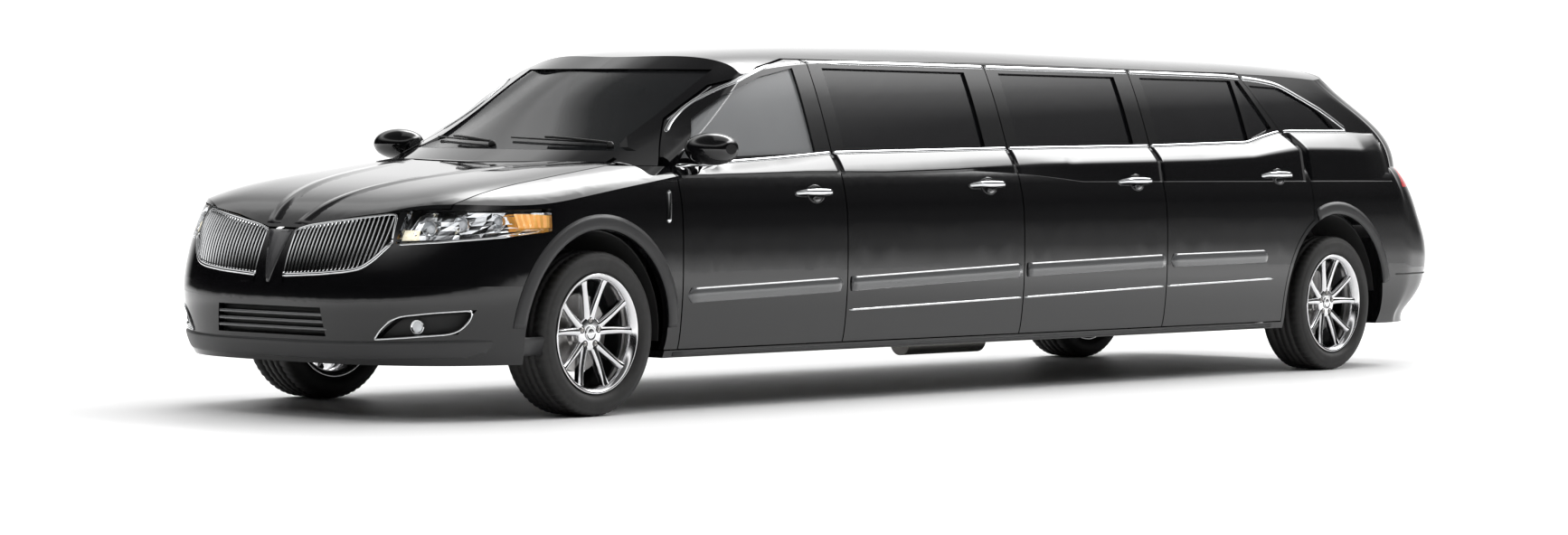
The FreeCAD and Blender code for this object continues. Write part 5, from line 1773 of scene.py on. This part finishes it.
@dataclass
class TailTrim:
    """Trim of the tailgate, the tail lamps and the rear bumper."""

    gate_strips: tuple[tuple[str, float, float, float, float, Finish], ...] = (
        ("tailgate_roof_lip", 1.625, 0.50, 0.055, 0.016, PAINT),
        ("tailgate_bright_bar", 1.130, 0.52, 0.022, 0.008, BRIGHT),
        ("tailgate_red_band", 1.065, 0.62, 0.075, 0.007, RED_LENS),
        ("high_stop_lamp", 1.600, 0.17, 0.016, 0.008, RED_LENS))
    plate_height: float = 0.83
    plate_sizes: tuple[tuple[str, Finish, float, float, float], ...] = (
        ("plate_frame", SEAL, 0.345, 0.190, 0.007), ("blank_plate", PLATE, 0.306, 0.153, 0.0095))
    lamp_spot: Point2 = (-3.862, 1.066)
    lamp_ring_profile: tuple[Point2, ...] = (
        (0.0, 0.024), (0.0085, 0.023), (0.0095, 0.021), (0.007, 0.018), (0.006, 0.004))
    lamp_spot_profile: tuple[Point2, ...] = ((0.004, 0.016), (0.009, 0.015), (0.0105, 0.009), (0.011, 0.002))
    bumper_half: float = 0.80
    step_height: float = 0.515
    apron_height: float = 0.300
    reflector_height: float = 0.455

    def build(self) -> None:
        """Makes the trim of the car's tail."""
        for name, z, half, width, proud, finish in self.gate_strips:
            add_piece(name, self._across(z, half, width, proud, "tailgate"), finish, "tailgate")
        self._plate()
        self._wiper()
        self._bumper()
        self._lamp_spots()

    @staticmethod
    def _across(z: float, half: float, width: float, proud: float, name: str) -> Mesh:
        """Strip across the tail at a height.

        Args:
            z: Height.
            half: Half of its length.
            width: Its width.
            proud: How far it stands proud.
            name: Node whose skin it lies on.

        Returns:
            The strip's mesh.
        """
        hits = [SKIN.tail(y, z, (name,)) for y in spaced(-half, half, 40)]
        return Strip(width, proud, smoothing=3).mesh(hits)

    def _plate(self) -> None:
        """Makes the plate's frame and the blank plate."""
        point, normal = SKIN.tail(0.0, self.plate_height, ("tailgate",))
        rise = (UP - normal * normal.z).normalized()
        across = rise.cross(normal)
        for name, finish, wide, tall, lift in self.plate_sizes:
            profile = ((-0.012, 1.0), (lift, 1.0), (lift + 0.0015, 0.985), (lift + 0.0008, 0.96),
                       (lift + 0.0008, 0.5))
            rings = [loop(point + normal * depth, across * (wide / 2 * share), rise * (tall / 2 * share), 48,
                          (0.14, 0.14), 0.5) for depth, share in profile]
            add_piece(name, skin_rings(rings), finish, "tailgate")

    @staticmethod
    def _wiper() -> None:
        """Makes the parked rear wiper on the glass."""
        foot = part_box("tailgate_glass")[0][2] + 0.035
        glass = Skin(("tailgate_glass",))
        hits = [glass.tail(0.36 * share - 0.02, foot + 0.02 * share) for share in spaced(0, 1, 12)]
        path = [hit[0] + hit[1] * 0.011 for hit in hits if hit]
        pivot = dish(path[0] + Vector((0.012, 0, -0.012)), Vector((-1, 0, 0.35)).normalized(),
                     ((0.0, 0.020), (0.014, 0.018), (0.018, 0.010), (0.019, 0.003)), 18)
        add_piece("rear_wiper", joined([tube(path, [(0.006, 0.004)], 8), pivot]), SEAL, "tailgate")

    def _bumper(self) -> None:
        """Makes the rear bumper's step, apron, reflectors and side lines."""
        names = ("rear_bumper",)
        for name, height, width, proud in (("step", self.step_height, 0.030, 0.006),
                                           ("apron", self.apron_height, 0.070, 0.008)):
            band = self._across(height, self.bumper_half, width, proud, names[0])
            add_piece(f"rear_bumper_{name}", band, SATIN)
        lens = [SKIN.tail(y, self.reflector_height, names) for y in spaced(0.55, 0.75, 12)]
        patch = Strip(0.032, 0.005, smoothing=2).mesh(lens)
        line = [SKIN.side(x, 0.520, names) for x in (-3.56 - 0.02 * k for k in range(24))]
        crease = Strip(0.010, 0.003, smoothing=2).mesh([hit for hit in line if hit and hit[0].y > 0.7])
        for side in Side:
            # The reflectors take the red lamp lens finish with its glow; on a reflector, which is no lamp,
            # that glow is painted light.
            add_piece(f"rear_{side.word}_reflector", on_side(patch, side), RED_LENS)
            add_piece(f"rear_{side.word}_bumper_line", on_side(crease, side), SEAL)

    def _lamp_spots(self) -> None:
        """Makes the pale spot and the bright ring in each tail lamp."""
        point, normal = SKIN.side(*self.lamp_spot, ("tail_lamps",))
        middle = point - normal * 0.006
        ring = dish(middle, normal, self.lamp_ring_profile, 26)
        spot = dish(middle, normal, self.lamp_spot_profile, 22)
        add_piece("tail_lamp_rings", both(ring), BRIGHT)
        add_piece("tail_lamp_spots", both(spot), LAMP_GLOW)


@dataclass
class Studio:
    """Pale floor, soft lights and the camera at the photograph's angle."""

    place: Point3 = (17.279, 13.794, 1.278)
    yaw: float = -140.31
    pitch: float = 1.807
    roll: float = 0.713
    lens: float = 98.94
    floor_reach: float = 13.0
    floor_steps: int = 24
    light_size: Point2 = (16.0, 8.0)
    light_height: float = 9.0
    light_power: float = 900
    sky_stops: tuple[Point2, ...] = (
        (0.0, 0.045), (0.05, 0.012), (0.16, 0.005), (0.30, 0.009), (0.38, 0.032), (0.43, 0.13), (0.475, 0.31),
        (0.53, 0.55), (0.575, 0.95), (0.64, 1.0), (0.68, 0.5), (0.72, 0.16), (0.80, 0.09), (1.0, 0.06))

    def build(self) -> None:
        """Makes the floor, the sky, the light and the camera."""
        self._floor()
        self._sky()
        self._overhead()
        self._camera()
        bpy.context.scene.view_settings.view_transform = "Standard"

    def _floor(self) -> None:
        """Large flat floor under the wheels."""
        steps = self.floor_steps
        places = list(spaced(-self.floor_reach, self.floor_reach, steps))
        corners = [i * (steps + 1) + j for i in range(steps) for j in range(steps)]
        data = bpy.data.meshes.new("studio_floor")
        data.from_pydata([(x, y, 0.0) for x in places for y in places], [],
                         [(a, a + steps + 1, a + steps + 2, a + 1) for a in corners])
        floor = bpy.data.objects.new("studio_floor", data)
        data.materials.append(self._floor_finish())
        bpy.context.scene.collection.objects.link(floor)

    @staticmethod
    def _floor_finish() -> bpy.types.Material:
        """Pale floor that grows brighter away from the car, so that its edge is lost.

        Returns:
            The floor's material.
        """
        made = FLOOR.material()
        nodes = Nodes(made.node_tree)
        place = nodes.add("TexCoord", "Object", {})
        squash = nodes.add("Mapping", "Vector", {"Scale": (0.62, 1.0, 1.0), "Vector": place})
        reach = nodes.add("VectorMath", "Value", {0: squash}, operation="LENGTH")
        spread = nodes.add("MapRange", "Result",
                           {"From Min": 2.6, "From Max": 8.0, "To Max": 0.9, "Value": reach},
                           interpolation_type="SMOOTHSTEP")
        nodes.feed(made.node_tree.nodes["Principled BSDF"],
                   {"Emission Strength": spread, "Emission Color": (1, 1, 1, 1)})
        return made

    def _sky(self) -> None:
        """Soft surroundings: pale behind the car, dark on the camera's side."""
        world = bpy.data.worlds.new("studio_sky")
        bpy.context.scene.world = world
        world.use_nodes = True
        nodes = Nodes(world.node_tree)
        place = nodes.add("TexCoord", "Generated", {})
        height = nodes.add("SeparateXYZ", "Z", {"Vector": place})
        rise = nodes.add("ValToRGB", "Color", {"Fac": height})
        ramp = rise.node.color_ramp
        for index, (spot, value) in enumerate(self.sky_stops):
            stop = ramp.elements[index] if index < 2 else ramp.elements.new(spot)
            stop.position = spot
            stop.color = (value, value, value, 1)
        level = nodes.add("VectorMath", "Vector", {1: (1.0, 1.0, 0.0), 0: place}, operation="MULTIPLY")
        heading = nodes.add("VectorMath", "Vector", {0: level}, operation="NORMALIZE")
        side = nodes.add("VectorMath", "Value", {1: (-1.0, 0.0, 0.0), 0: heading}, operation="DOT_PRODUCT")
        flank = nodes.add("MapRange", "Result",
                          {"From Min": 0.64, "From Max": 0.83, "To Min": 1.3, "To Max": 10.0, "Value": side},
                          interpolation_type="SMOOTHSTEP")
        band = nodes.add("VectorMath", "Vector", {0: rise, "Scale": flank}, operation="SCALE")
        yaw = math.radians(self.yaw)
        turn = nodes.add("VectorMath", "Value", {1: (math.cos(yaw), math.sin(yaw), 0.0), 0: place},
                         operation="DOT_PRODUCT")
        behind = nodes.add("MapRange", "Result", {"From Min": 0.72, "From Max": 0.95, "Value": turn},
                           interpolation_type="SMOOTHSTEP")
        ground = nodes.add("MapRange", "Result", {"From Min": -0.005, "From Max": -0.03, "Value": height})
        pale = nodes.add("Math", "Value", {0: behind, 1: ground}, operation="MAXIMUM")
        mix = nodes.add("Mix", "Result", {"B": (1.4, 1.4, 1.4, 1), "A": band, "Factor": pale},
                        data_type="RGBA")
        nodes.feed(world.node_tree.nodes["Background"], {"Color": mix, "Strength": 1.0})

    def _overhead(self) -> None:
        """Adds the soft light over the car, which shows in no reflection."""
        data = bpy.data.lights.new("overhead_softbox", "AREA")
        data.shape = "RECTANGLE"
        data.size, data.size_y = self.light_size
        data.energy = self.light_power
        light = bpy.data.objects.new("overhead_softbox", data)
        light.location = (0.5, 0.5, self.light_height)
        light.visible_glossy = False
        bpy.context.scene.collection.objects.link(light)

    def _camera(self) -> None:
        """Adds the camera that the photograph was taken with."""
        yaw, pitch, roll = (math.radians(a) for a in (self.yaw, self.pitch, self.roll))
        ahead = Vector((math.cos(yaw) * math.cos(pitch), math.sin(yaw) * math.cos(pitch), -math.sin(pitch)))
        right = ahead.cross(UP).normalized()
        up = right.cross(ahead)
        tilted = right * math.cos(roll) + up * math.sin(roll)
        upright = up * math.cos(roll) - right * math.sin(roll)
        data = bpy.data.cameras.new("photo_camera")
        data.lens = self.lens
        data.sensor_width = 36.0
        data.clip_end = 300.0
        camera = bpy.data.objects.new("photo_camera", data)
        turn = Matrix((tilted, upright, -ahead)).transposed().to_4x4()
        camera.matrix_world = Matrix.Translation(Vector(self.place)) @ turn
        bpy.context.scene.collection.objects.link(camera)
        bpy.context.scene.camera = camera


def main() -> None:
    """Builds the whole scene in order."""
    logging.basicConfig(level=logging.INFO, format="%(message)s")
    dress_nodes()
    for group in (DoorTrim(), GrilleTrim(), BumperTrim(), HeadlampInsides(), BodyTrim(), TailTrim(), Cabin(),
                  *(Wheel(end, side) for end in ("front", "rear") for side in Side), ArchFlare(), Studio()):
        group.build()


if __name__ == "__main__":
    main()
